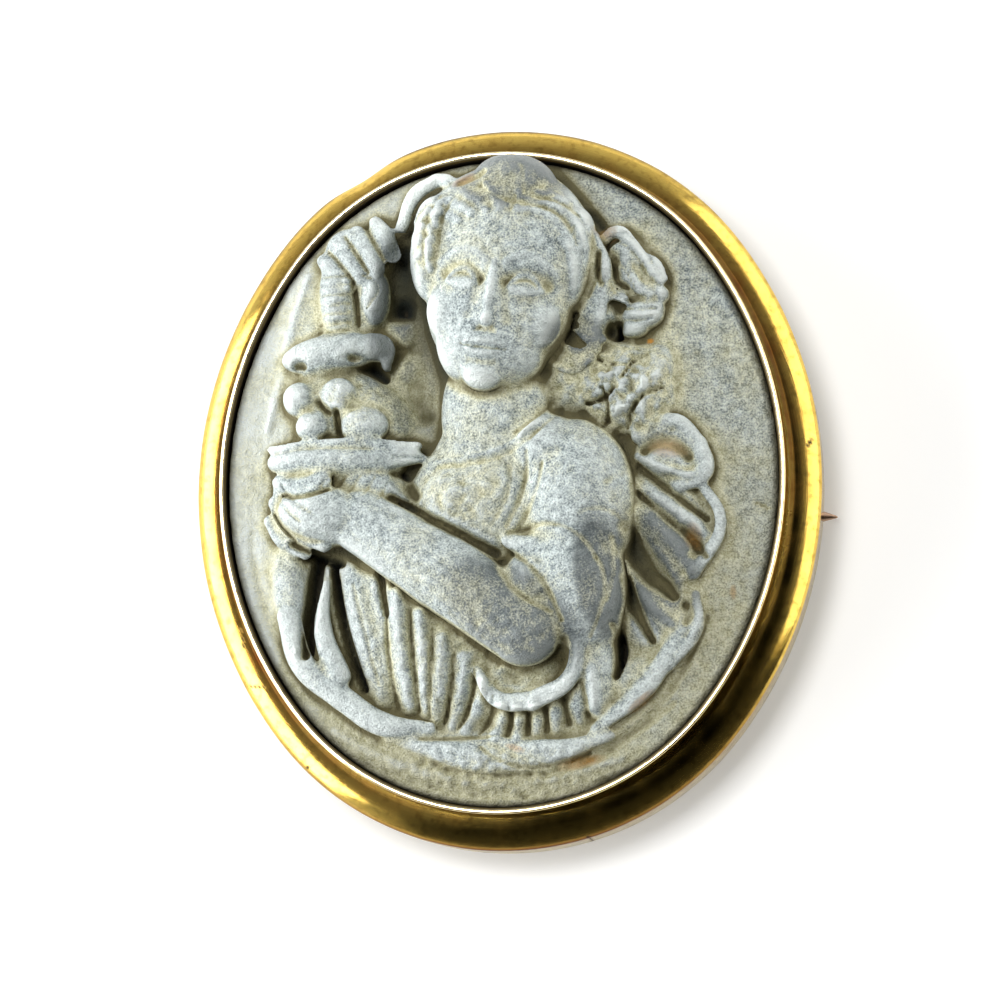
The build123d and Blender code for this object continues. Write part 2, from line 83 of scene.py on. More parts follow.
FLOOR_HALF = 600 * MM
bpy.ops.mesh.primitive_plane_add(size=2 * FLOOR_HALF, location=(0, 0, 0))
floor = bpy.context.object
floor.name = "paper_table"
paper, paper_shader = new_material("matte_white_paper")
paper_shader.inputs["Base Color"].default_value = linear("F2F2F1")
paper_shader.inputs["Roughness"].default_value = 0.75
paper_shader.inputs["Emission Color"].default_value = linear("FFFFFF")
paper_shader.inputs["Emission Strength"].default_value = 0.2
paper_fibre = add_node(
    paper.node_tree,
    "ShaderNodeTexNoise",
    [("Vector", add_node(paper.node_tree, "ShaderNodeTexCoord").outputs["Object"]), ("Scale", 1800)],
)
paper_bump = add_node(
    paper.node_tree,
    "ShaderNodeBump",
    [("Height", paper_fibre.outputs["Fac"]), ("Strength", 0.05), ("Distance", 0.05 * MM)],
)
paper.node_tree.links.new(paper_bump.outputs["Normal"], paper_shader.inputs["Normal"])
floor.data.materials.append(paper)

RING_HEIGHT = 4.1 * MM
CAMERA_DISTANCE = 450 * MM
PIXELS_PER_MM = 15.85
toward_camera = Vector((0.152, -0.166, 0.974)).normalized()
camera_up = (Vector((0, 1, 0)) - toward_camera * toward_camera.y).normalized()
camera_right = camera_up.cross(toward_camera)
aim = Vector((0, 0, RING_HEIGHT)) - camera_right * 0.55 * MM - camera_up * 0.69 * MM
camera_data = bpy.data.cameras.new("camera")
camera_data.sensor_width = 36
camera_data.lens = 36 * CAMERA_DISTANCE / (1000 / PIXELS_PER_MM * MM)
camera_data.clip_start = 10 * MM
camera = bpy.data.objects.new("camera", camera_data)
bpy.context.collection.objects.link(camera)
camera.matrix_world = Matrix.Translation(aim + toward_camera * CAMERA_DISTANCE) @ Matrix(
    (camera_right, camera_up, toward_camera)
).transposed().to_4x4()
bpy.context.scene.camera = camera


def soft_light(name, turn, rise, distance, width, height, brightness, colour):
    """A flat lit surface, placed by its turn and rise in degrees as seen from the brooch."""
    data = bpy.data.lights.new(name, "AREA")
    data.shape = "RECTANGLE"
    data.size, data.size_y = width * MM, height * MM
    data.energy = brightness * math.pi * data.size * data.size_y
    data.color = linear(colour)[:3]
    light = bpy.data.objects.new(name, data)
    turn, rise = math.radians(turn), math.radians(rise)
    toward = Vector((math.cos(rise) * math.cos(turn), math.cos(rise) * math.sin(turn), math.sin(rise)))
    light.location = toward * distance * MM
    light.rotation_euler = toward.to_track_quat("Z", "Y").to_euler()
    bpy.context.collection.objects.link(light)


soft_light("window", 186, 19, 500, 700, 310, 5.6, "FFFFFF")
soft_light("white_wall", 22, 19, 500, 760, 300, 2.0, "FFFCF4")
soft_light("skylight", 132.5, 77, 520, 200, 200, 12.5, "FFFFFF")

world = bpy.data.worlds.new("room")
bpy.context.scene.world = world
world.use_nodes = True
room = world.node_tree
direction = add_node(room, "ShaderNodeTexCoord").outputs["Generated"]
toward_photographer = add_node(
    room, "ShaderNodeVectorMath", [(0, direction), (1, (0.33, -0.90, 0.30))], operation="DOT_PRODUCT"
)
shade = add_node(
    room,
    "ShaderNodeMapRange",
    [(0, toward_photographer.outputs["Value"]), (1, 0.4), (2, 0.72), (3, 1.0), (4, 0.08)],
    interpolation_type="SMOOTHSTEP",
)
height = add_node(room, "ShaderNodeSeparateXYZ", [(0, direction)])
overhead = add_node(
    room,
    "ShaderNodeMapRange",
    [(0, height.outputs["Z"]), (1, 0.0), (2, 0.8), (3, 0.8), (4, 0.24)],
    interpolation_type="SMOOTHSTEP",
)
toward_lens = add_node(
    room, "ShaderNodeVectorMath", [(0, direction), (1, (0.25, -0.12, 0.96))], operation="DOT_PRODUCT"
)
phone = add_node(
    room,
    "ShaderNodeMapRange",
    [(0, toward_lens.outputs["Value"]), (1, 0.80), (2, 0.95), (3, 1.0), (4, 0.02)],
    interpolation_type="SMOOTHSTEP",
)
shaded = add_node(room, "ShaderNodeMath", [(0, shade.outputs[0]), (1, phone.outputs[0])], operation="MULTIPLY")
brightness = add_node(
    room, "ShaderNodeMath", [(0, shaded.outputs[0]), (1, overhead.outputs[0])], operation="MULTIPLY"
)
backdrop = room.nodes["Background"]
backdrop.inputs["Color"].default_value = linear("F4F6FA")
room.links.new(brightness.outputs[0], backdrop.inputs["Strength"])
bpy.context.scene.view_settings.view_transform = "Standard"


# The cameo: one piece of grey lava stone, carved in high relief and rubbed smooth, with
# cream dirt left in the hollows. Its rounded forms are blocked out, fused into one
# surface and worn, then cut finer with a graver. It lies in the collar on its ledge.
stone_low, stone_high = [Vector(corner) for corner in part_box("cameo_stone")]
HALF_WIDTH = stone_high.x
HALF_LENGTH = stone_high.y
END_SHORTFALL = 0.516
END_RADIUS = HALF_WIDTH - END_SHORTFALL * (HALF_LENGTH - HALF_WIDTH)
END_CENTRE = HALF_LENGTH - END_RADIUS
SIDE_RADIUS = (HALF_WIDTH**2 + HALF_LENGTH**2 - 2 * HALF_LENGTH * END_RADIUS) / (
    2 * (HALF_WIDTH - END_RADIUS)
)
SIDE_CENTRE = SIDE_RADIUS - HALF_WIDTH
STONE_THICKNESS = 3.4 * MM
STONE_EDGE = stone_low.z + STONE_THICKNESS
EDGE_ROUNDING = 0.35 * MM
GROUND_DOME = 0.45 * MM
GROUND_LIFT = 1.4 * MM
TALLEST = 8.1 * MM
DEEPEST_HOLE = 0.35 * MM
BLOCKING_GRID = 0.2 * MM
CARVING_GRID = 0.172 * MM


def edge_distance(x, y):
    """Distance from the oval's middle to the stone's edge, in the direction of a point."""
    corner = np.arctan2(END_CENTRE, SIDE_CENTRE)
    corner = np.arctan2(SIDE_RADIUS * np.sin(corner), SIDE_RADIUS * np.cos(corner) - SIDE_CENTRE)
    angle = np.arctan2(np.abs(y), np.abs(x))
    at_end = angle > corner
    offset = np.where(at_end, np.sin(angle) * END_CENTRE, -np.cos(angle) * SIDE_CENTRE)
    inside = np.where(at_end, END_CENTRE, SIDE_CENTRE)
    radius = np.where(at_end, END_RADIUS, SIDE_RADIUS)
    return offset + np.sqrt(offset**2 - inside**2 + radius**2)


# The head's own axes: its middle on the stone and its lean to the right.
HEAD_X, HEAD_Y, HEAD_LEAN = 0.35, 11.4, -9


def on_head(across, along):
    """Place on the stone of a point given along the head's own axes, in mm."""
    lean = math.radians(HEAD_LEAN)
    return (
        HEAD_X + across * math.cos(lean) - along * math.sin(lean),
        HEAD_Y + across * math.sin(lean) + along * math.cos(lean),
    )


# Broad masses of the head along its own axes: name, centre across, along and height over
# the stone's edge, half width, half length and half depth, in mm.
HEAD_MASSES = [
    ("skull and forehead", 0.0, 2.0, 2.2, 5.0, 5.9, 5.0),
    ("middle of the face", 0.0, -0.8, 2.3, 4.6, 4.7, 4.9),
    ("jaw", 0.0, -3.0, 3.0, 3.6, 3.5, 4.1),
    ("mouth", 0.0, -3.6, 4.8, 1.9, 1.7, 2.3),
    ("chin", 0.0, -5.4, 4.9, 1.4, 1.1, 1.9),
    ("left cheek", -2.4, -1.6, 4.2, 1.9, 2.1, 2.3),
    ("right cheek", 2.4, -1.6, 4.2, 1.9, 2.1, 2.3),
    ("bridge of the nose", 0.0, -0.4, 5.3, 0.85, 2.3, 2.2),
    ("hair over the skull", -0.3, 3.6, 1.7, 5.4, 4.9, 4.9),
    ("hair at the left temple", -4.6, 2.6, 2.2, 1.6, 3.5, 3.3),
    ("hair at the right temple", 4.2, 2.8, 2.2, 1.3, 3.4, 3.1),
    ("knot of hair on the crown", -0.2, 7.1, 3.2, 2.7, 1.9, 2.6),
]

# Broad masses of the body: the same columns on the stone's axes, and a turn in degrees.
BODY_MASSES = [
    ("neck", -0.2, 4.4, 0.4, 3.5, 5.0, 3.7, -6),
    ("collar bones", -0.3, 1.6, 0.0, 3.9, 2.4, 3.9, 0),
    ("chest", -0.6, -1.4, 0.0, 5.2, 4.6, 4.1, 0),
    ("breast", -2.2, -1.6, 1.0, 3.0, 2.8, 3.3, 0),
    ("shoulder and upper arm", 5.0, -1.5, 0.5, 3.75, 5.2, 5.1, 4),
    ("shoulder towards the neck", 3.2, 1.4, 0.4, 3.0, 2.6, 4.5, -30),
    ("sleeve over the elbow", 4.9, -6.2, 0.8, 3.1, 5.4, 4.2, 8),
    ("arm inside the sleeve", 2.3, -6.8, 1.6, 1.6, 2.1, 3.2, 35),
    ("back of the sleeve", 5.7, -10.9, 0.2, 1.6, 4.2, 2.3, 6),
    ("back of the hand", -10.8, -2.2, 1.6, 3.2, 1.9, 3.1, -10),
    ("inside of the hem", 1.9, -12.3, -0.4, 3.2, 2.2, 2.3, 0),
    ("body under the arm", -4.2, -8.4, -1.9, 6.6, 7.4, 4.1, 20),
    ("skirt of the dress", 1.8, -12.4, -2.2, 6.8, 4.2, 3.7, 0),
    ("fruit mound", -9.6, 4.5, -0.4, 4.3, 2.7, 2.9, -20),
    ("foot of the bowl", -8.2, -0.2, 0.7, 3.2, 1.3, 2.3, -20),
    ("stalk of the bunch", -10.3, 11.6, 0.6, 1.2, 3.2, 2.1, 4),
    ("top of the bunch", -9.1, 14.4, 0.2, 2.3, 1.9, 2.1, -35),
    ("ground of the bunch", -9.4, 11.6, -0.4, 2.4, 3.2, 2.2, 10),
    ("leaf over the fruit", -10.6, 8.2, 1.2, 3.3, 1.25, 2.1, 8),
    ("rock behind the shoulder", 8.0, 5.5, -0.8, 3.4, 3.1, 3.2, -20),
    ("rock at its edge", 9.9, 6.4, -0.6, 1.3, 2.2, 2.5, -10),
    ("hair behind the neck", 4.6, 6.6, -0.9, 3.3, 3.0, 2.9, 0),
    ("hair beside the jaw", 6.2, 9.8, 0.0, 1.4, 2.4, 2.3, -10),
    ("curls at the right", 8.3, 12.9, -0.4, 1.8, 2.6, 2.5, 14),
    ("right drapery", 10.2, -3.4, -1.6, 3.6, 5.4, 2.9, 12),
    ("upper scroll of the drapery", 10.6, 1.2, -0.9, 2.4, 2.3, 2.5, -10),
    ("lower drapery", 9.8, -8.6, -1.4, 2.6, 3.4, 2.4, -20),
    ("right hem", 8.4, -12.8, -1.6, 3.8, 1.9, 2.4, 38),
    ("cloak at the left", -13.4, -6.4, -1.0, 1.4, 3.8, 2.3, 4),
    ("raised ground at the left", -11.4, 7.6, -0.7, 3.1, 7.8, 1.6, 8),
    ("lowest bands", -1.0, -16.8, -1.0, 7.0, 1.5, 1.7, -4),
]

# Small masses: the same columns.
SMALL_MASSES = [
    ("left wing of the nose", -0.63, 9.18, 6.4, 0.42, 0.4, 0.6, 0),
    ("right wing of the nose", 0.6, 8.98, 6.4, 0.42, 0.4, 0.6, 0),
    ("tip of the nose", 0.01, 9.28, 6.6, 0.55, 0.55, 0.85, 0),
    ("fruit at the left", -12.6, 5.3, 1.3, 1.12, 1.12, 1.6, 0),
    ("fruit in the middle", -10.0, 5.35, 1.8, 1.25, 1.2, 1.6, 0),
    ("fruit below", -11.7, 3.45, 1.7, 1.12, 1.0, 1.6, 0),
    ("large fruit", -8.4, 3.45, 1.9, 1.6, 1.25, 1.6, 0),
    ("bowl", -10.3, 1.2, 0.9, 4.5, 1.3, 2.9, -2),
    ("leaf's end", -7.9, 8.5, 1.3, 1.2, 0.85, 1.5, -10),
    ("scroll of the bunch", -7.9, 11.8, 0.9, 0.95, 2.0, 1.9, 0),
    ("knot of curls", 9.1, 10.15, 0.6, 1.35, 0.95, 1.9, 12),
    ("lobe under the knot", 8.6, 9.3, 0.6, 0.9, 0.6, 1.5, 10),
    ("bead in the hollow", -6.5, 9.7, -0.6, 1.2, 1.3, 1.5, 0),
    ("bead in the hollow, lower", -6.0, 7.4, -0.8, 1.1, 1.4, 1.3, 0),
    ("lobe of curls 1", 10.2, 11.5, 0.5, 0.55, 0.6, 1.5, 20),
    ("lobe of curls 2", 9.9, 10.6, 0.4, 0.6, 0.5, 1.6, 0),
    ("hair in the knot 1", 0.1, 18.7, 3.9, 1.1, 0.9, 1.5, 20),
    ("hair in the knot 2", 2.3, 18.4, 3.7, 1.0, 1.1, 1.6, 0),
    ("hair in the knot 3", 1.2, 19.1, 3.4, 1.3, 0.9, 1.7, 0),
]

# Ridges: name, the points x, y and height over the stone's edge that the ridge starts at,
# passes and ends at, and its half width at each, in mm.
RIDGES = [
    ("lock from the crown", (-6.1, 16.1, 1.9), (-5.2, 18.1, 2.3), (-3.8, 19.0, 2.4), (0.4, 0.5, 0.45)),
    ("lock's end", (-3.8, 19.0, 2.4), (-3.0, 18.8, 2.6), (-2.8, 17.7, 3.0), (0.45, 0.45, 0.4)),
    ("lock beside the crown", (-4.9, 16.2, 2.6), (-4.2, 17.2, 3.2), (-2.9, 17.4, 4.0), (0.35, 0.45, 0.4)),
    ("side lock", (6.1, 14.9, 2.6), (6.7, 12.9, 2.4), (6.1, 10.6, 1.9), (0.5, 0.65, 0.5)),
    ("strand beside the jaw 1", (5.6, 12.1, 2.2), (6.6, 11.4, 2.6), (7.2, 12.2, 2.1), (0.18, 0.22, 0.18)),
    ("strand beside the jaw 2", (5.5, 11.5, 2.2), (6.5, 10.8, 2.6), (7.1, 11.6, 2.1), (0.18, 0.22, 0.18)),
    ("strand beside the jaw 3", (5.4, 10.9, 2.2), (6.4, 10.2, 2.6), (7.0, 11.0, 2.1), (0.18, 0.22, 0.18)),
    ("strand beside the jaw 4", (5.3, 10.3, 2.2), (6.3, 9.6, 2.6), (6.9, 10.4, 2.1), (0.18, 0.22, 0.18)),
    ("strand beside the jaw 5", (5.2, 9.7, 2.2), (6.2, 9.0, 2.6), (6.8, 9.8, 2.1), (0.18, 0.22, 0.18)),
    ("strand beside the jaw 6", (5.0, 9.1, 2.2), (6.0, 8.4, 2.6), (6.6, 9.2, 2.1), (0.18, 0.22, 0.18)),
    ("strand under the jaw 1", (4.1, 8.2, 2.1), (5.4, 7.7, 2.4), (6.8, 8.5, 2.0), (0.2, 0.25, 0.2)),
    ("strand under the jaw 2", (3.8, 7.6, 2.1), (5.1, 7.1, 2.4), (6.5, 7.9, 2.0), (0.2, 0.25, 0.2)),
    ("strand under the jaw 3", (3.5, 7.0, 2.1), (4.8, 6.5, 2.4), (6.2, 7.3, 2.0), (0.2, 0.25, 0.2)),
    ("curl 1", (6.5, 14.6, 1.5), (7.6, 15.4, 1.9), (8.6, 14.5, 2.0), (0.35, 0.42, 0.4)),
    ("curl 2", (8.6, 14.5, 2.0), (9.4, 13.2, 1.9), (10.1, 12.2, 1.6), (0.4, 0.48, 0.4)),
    ("curl 3", (7.0, 13.8, 1.6), (7.9, 14.3, 2.0), (8.2, 13.0, 2.1), (0.3, 0.36, 0.36)),
    ("curl 4", (8.2, 13.0, 2.1), (8.9, 11.8, 2.0), (9.6, 11.4, 1.9), (0.36, 0.42, 0.35)),
    ("curl 5", (7.2, 12.8, 1.7), (7.2, 11.6, 2.0), (8.1, 11.0, 2.0), (0.3, 0.36, 0.3)),
    ("curl 6", (9.2, 13.9, 1.5), (10.0, 13.4, 1.5), (10.5, 12.4, 1.3), (0.25, 0.3, 0.25)),
    ("finger of the bunch 1", (-7.9, 16.6, 1.0), (-7.3, 15.6, 1.7), (-6.7, 14.4, 1.7), (0.45, 0.7, 0.55)),
    ("finger of the bunch 2", (-9.1, 16.0, 1.0), (-8.4, 14.9, 1.8), (-7.7, 13.5, 2.0), (0.5, 0.72, 0.55)),
    ("finger of the bunch 3", (-10.3, 15.2, 0.9), (-9.5, 14.2, 1.7), (-8.6, 12.9, 2.0), (0.5, 0.72, 0.55)),
    ("finger of the bunch 4", (-11.3, 14.3, 0.7), (-10.5, 13.5, 1.6), (-9.6, 12.4, 2.0), (0.45, 0.7, 0.55)),
    ("tip of the leaf", (-8.0, 8.9, 1.8), (-7.1, 8.6, 1.9), (-7.1, 7.2, 1.4), (0.5, 0.5, 0.3)),
    ("rim of the bowl", (-14.4, 2.1, 1.9), (-10.2, 2.25, 3.0), (-5.0, 2.1, 1.9), (0.26, 0.3, 0.26)),
    ("spout of the bowl", (-7.6, 1.3, 2.2), (-5.7, 1.45, 1.9), (-4.3, 1.2, 1.4), (0.95, 0.62, 0.15)),
    ("thumb", (-13.9, 0.0, 1.7), (-12.6, -0.5, 2.6), (-10.9, -0.2, 3.2), (0.45, 0.6, 0.6)),
    ("finger 1", (-14.2, -1.2, 1.0), (-13.2, -2.9, 1.5), (-11.0, -4.0, 1.9), (0.5, 0.55, 0.5)),
    ("finger 2", (-14.6, -2.3, 0.6), (-13.7, -3.6, 0.9), (-12.3, -4.4, 1.2), (0.45, 0.55, 0.45)),
    ("finger 3", (-13.9, -0.5, 1.4), (-12.8, -2.3, 2.0), (-10.6, -3.4, 2.5), (0.45, 0.5, 0.45)),
    ("forearm", (-8.5, -2.7, 2.3), (-3.4, -6.0, 2.6), (1.8, -9.75, 2.6), (2.0, 2.5, 2.35)),
    ("cuff of the sleeve", (0.9, -4.3, 3.3), (4.5, -5.9, 3.4), (5.1, -10.2, 2.9), (0.45, 1.45, 0.65)),
    ("hem under the elbow", (5.3, -10.3, 2.9), (4.6, -12.8, 2.3), (2.2, -14.2, 1.9), (0.55, 0.55, 0.62)),
    ("hem's end", (2.2, -14.2, 1.9), (0.0, -14.0, 1.7), (-1.3, -12.2, 1.6), (0.62, 0.55, 0.35)),
    ("left fold", (-11.0, -6.3, 0.5), (-11.2, -9.2, 0.8), (-10.2, -12.2, 0.8), (0.25, 0.6, 0.8)),
    ("band at the left", (-13.4, -8.4, 0.8), (-12.5, -11.4, 0.8), (-10.0, -13.6, 0.8), (0.75, 0.8, 0.8)),
    ("band at the lower left", (-10.0, -13.6, 0.8), (-7.4, -15.3, 0.8), (-4.4, -15.6, 0.6), (0.8, 0.8, 0.4)),
    ("lowest band", (-7.2, -16.0, 0.2), (-1.6, -17.5, 0.3), (4.0, -17.9, 0.1), (0.4, 1.0, 0.4)),
    ("lens band", (-0.8, -16.4, 0.5), (2.8, -17.2, 0.5), (6.9, -16.3, 0.4), (0.3, 0.8, 0.35)),
    ("swag at the lower right", (6.0, -15.9, 0.4), (9.2, -13.2, 0.6), (12.1, -8.6, 0.4), (0.4, 0.7, 0.4)),
    ("upper scroll, top", (8.7, 2.4, 0.8), (11.0, 3.4, 0.9), (12.6, 1.9, 0.7), (0.4, 0.5, 0.55)),
    ("upper scroll, end", (12.6, 1.9, 0.7), (12.9, 0.2, 0.8), (11.2, -0.8, 0.9), (0.55, 0.6, 0.5)),
    ("middle loop", (12.6, -0.4, 0.6), (13.9, -3.0, 0.5), (12.2, -6.3, 0.6), (0.35, 0.4, 0.4)),
    ("lower loop", (12.3, -7.5, 0.4), (12.4, -9.6, 0.5), (10.6, -12.0, 0.5), (0.3, 0.4, 0.4)),
]


def finish_with(piece, kind, **settings):
    """Adds a modifier to a piece with its settings and applies it."""
    modifier = piece.modifiers.new(kind.title(), kind)
    for name, value in settings.items():
        setattr(modifier, name, value)
    bpy.context.view_layer.objects.active = piece
    bpy.ops.object.modifier_apply(modifier=modifier.name)


def select_only(piece):
    """Makes a piece the only selected one, and the active one."""
    bpy.ops.object.select_all(action="DESELECT")
    piece.select_set(True)
    bpy.context.view_layer.objects.active = piece


def join_onto(piece, others):
    """Joins other objects onto a piece."""
    select_only(piece)
    for other in others:
        other.select_set(True)
    bpy.ops.object.join()
    bpy.ops.object.transform_apply()


def rounded_mass(x, y, z, half_x, half_y, half_z, turn):
    """A ball stretched to its size and turned on the stone."""
    bpy.ops.mesh.primitive_uv_sphere_add(
        segments=48,
        ring_count=28,
        radius=MM,
        location=(x * MM, y * MM, STONE_EDGE + z * MM),
        rotation=(0, 0, math.radians(turn)),
        scale=(half_x, half_y, half_z),
    )
    return bpy.context.object


# The ground: a flat oval slab, whose top is domed once all is carved.
GROUND_SIDES = 360
bpy.ops.object.select_all(action="DESELECT")
bpy.ops.mesh.primitive_cylinder_add(vertices=GROUND_SIDES, radius=1, depth=2)
stone = bpy.context.object
stone.name = "carved_lava_stone"
for vertex in stone.data.vertices:
    x, y, z = vertex.co
    reach = edge_distance(x * HALF_WIDTH, y * HALF_LENGTH) / math.hypot(x * HALF_WIDTH, y * HALF_LENGTH)
    height = STONE_EDGE if z > 0 else stone_low.z
    vertex.co = (x * HALF_WIDTH * reach, y * HALF_LENGTH * reach, height)

# The broad masses, fused and worn until they flow into each other.
broad = [rounded_mass(*mass) for name, *mass in BODY_MASSES]
for name, across, along, *sizes in HEAD_MASSES:
    broad.append(rounded_mass(*on_head(across, along), *sizes, HEAD_LEAN))
join_onto(stone, broad)
finish_with(stone, "REMESH", mode="VOXEL", voxel_size=BLOCKING_GRID)
finish_with(stone, "SMOOTH", factor=0.5, iterations=7)

# The small masses, and the ridges, each a tapered round rod bent through its three points.
small = [rounded_mass(*mass) for name, *mass in SMALL_MASSES]
ridge_curve = bpy.data.curves.new("ridges", "CURVE")
ridge_curve.dimensions = "3D"
ridge_curve.bevel_depth = MM
ridge_curve.bevel_resolution = 6
ridge_curve.use_fill_caps = True
for name, start, middle, end, widths in RIDGES:
    spline = ridge_curve.splines.new("BEZIER")
    spline.bezier_points.add(2)
    for point, place, width in zip(spline.bezier_points, (start, middle, end), widths):
        point.co = (place[0] * MM, place[1] * MM, STONE_EDGE + place[2] * MM)
        point.handle_left_type = point.handle_right_type = "AUTO"
        point.radius = width
    small += [rounded_mass(*start, *[widths[0]] * 3, 0), rounded_mass(*end, *[widths[2]] * 3, 0)]
ridges = bpy.data.objects.new("ridges", ridge_curve)
bpy.context.collection.objects.link(ridges)
select_only(ridges)
bpy.ops.object.convert(target="MESH")
join_onto(stone, [*small, ridges])
finish_with(stone, "REMESH", mode="VOXEL", voxel_size=CARVING_GRID)
finish_with(stone, "SMOOTH", factor=0.5, iterations=2)

# The graver: strokes that raise or cut the surface along a line on the stone. Each row has
# a half width where the stroke starts, passes and ends, a height, and the points x, y of
# those three places, all in mm. Strokes that are alike share a row. The first two tables
# are given along the head's own axes, and the first of them for one side of the face.
HEAD_PAIRS = [
    ("eye socket", (0.6, 0.85, 0.55), -0.6, ((3.2, 0.5), (2.0, 0.65), (0.9, 0.3))),
    ("side of the nose", (0.35, 0.45, 0.5), -0.22, ((0.8, 0.2), (0.95, -0.9), (1.25, -2.1))),
    ("brow", (0.4, 0.45, 0.35), 0.2, ((0.6, 1.4), (2.1, 2.05), (3.7, 1.2))),
    ("eyeball", (0.6, 0.78, 0.55), 0.5, ((2.6, 0.2), (2.0, 0.25), (1.4, 0.15))),
    ("upper lid", (0.22, 0.3, 0.2), 0.34, ((3.05, 0.1), (2.0, 0.9), (0.95, 0.0))),
    ("lower lid", (0.18, 0.24, 0.18), 0.2, ((2.95, 0.0), (2.0, -0.42), (1.05, -0.08))),
    ("under the lid", (0.14, 0.17, 0.14), -0.2, ((2.8, 0.15), (2.0, 0.55), (1.2, 0.08))),
    ("nostril", (0.16, 0.18, 0.14), -0.3, ((0.45, -2.75), (0.36, -2.72), (0.27, -2.72))),
]
HEAD_STROKES = [
    ("back of the nose", (0.4, 0.45, 0.55), 0.3, ((0.0, 1.4), (0.0, -0.4), (0.0, -2.3))),
    ("under the nose", (0.25, 0.3, 0.25), -0.3, ((-0.6, -2.95), (0.0, -2.85), (0.6, -2.95))),
    ("hollow over the lip", (0.2, 0.22, 0.2), -0.1, ((0.0, -2.95), (0.0, -3.15), (0.0, -3.4))),
    ("upper lip", (0.18, 0.32, 0.18), 0.22, ((-1.25, -3.85), (0.0, -3.6), (1.25, -3.85))),
    ("lower lip", (0.22, 0.36, 0.22), 0.26, ((-1.0, -4.15), (0.0, -4.4), (1.0, -4.15))),
    ("line of the mouth", (0.13, 0.15, 0.13), -0.3, ((-1.45, -3.9), (0.0, -4.02), (1.45, -3.9))),
    ("under the lip", (0.25, 0.32, 0.25), -0.2, ((-0.8, -4.85), (0.0, -4.95), (0.8, -4.85))),
    ("lock over the forehead 1 to 4", (0.35, 0.48, 0.4), 0.34,
        ((-0.3, 4.9), (-0.8, 5.8), (-1.6, 6.4)),
        ((-1.2, 4.7), (-2.1, 5.4), (-3.0, 5.9)),
        ((-2.1, 4.4), (-3.2, 4.9), (-4.2, 5.2)),
        ((-2.9, 3.9), (-4.0, 4.3), (-5.1, 4.5))),
    ("swept hair 1 to 4", (0.3, 0.42, 0.35), 0.3,
        ((0.9, 5.0), (2.8, 4.9), (4.3, 3.2)),
        ((1.2, 5.7), (3.6, 5.4), (5.0, 3.4)),
        ((1.6, 6.4), (4.4, 5.8), (5.6, 3.8)),
        ((3.6, 3.6), (4.6, 2.2), (4.8, 0.4))),
    ("groove of the swept hair 1 to 2", (0.13, 0.17, 0.13), -0.26,
        ((0.9, 5.35), (3.2, 5.1), (4.6, 3.4)),
        ((1.4, 6.0), (4.0, 5.6), (5.3, 3.6))),
    ("parting", (0.2, 0.22, 0.2), -0.3, ((0.3, 4.9), (0.35, 5.4), (0.35, 5.9))),
    ("groove around the knot", (0.2, 0.26, 0.2), -0.3, ((-2.0, 6.4), (0.4, 5.5), (2.6, 6.4))),
    ("twist in the knot", (0.18, 0.22, 0.18), -0.22, ((0.3, 8.0), (0.7, 7.1), (0.9, 6.2))),
    ("hollow beside the knot", (0.3, 0.4, 0.3), -0.6, ((-3.5, 6.5), (-2.7, 6.9), (-2.0, 7.4))),
    ("temple curl 1 to 5", (0.3, 0.42, 0.3), 0.5,
        ((-5.9, 4.4), (-5.0, 5.2), (-4.3, 4.3)),
        ((-5.9, 3.5), (-5.0, 4.3), (-4.3, 3.4)),
        ((-6.0, 2.6), (-5.1, 3.4), (-4.4, 2.5)),
        ((-6.0, 1.7), (-5.1, 2.5), (-4.4, 1.6)),
        ((-5.9, 0.8), (-5.0, 1.6), (-4.3, 0.7))),
    ("temple groove 1", (0.14, 0.2, 0.14), -0.3, ((-4.6, 5.6), (-5.0, 3.4), (-4.7, 1.0))),
    ("temple groove 2", (0.14, 0.2, 0.14), -0.28, ((-3.6, 5.3), (-4.1, 3.6), (-4.0, 2.4))),
    ("right temple groove 1 to 2", (0.16, 0.22, 0.16), -0.3,
        ((4.2, 4.6), (5.1, 2.6), (4.9, 0.4)),
        ((4.9, 5.0), (5.8, 2.8), (5.5, 0.6))),
]
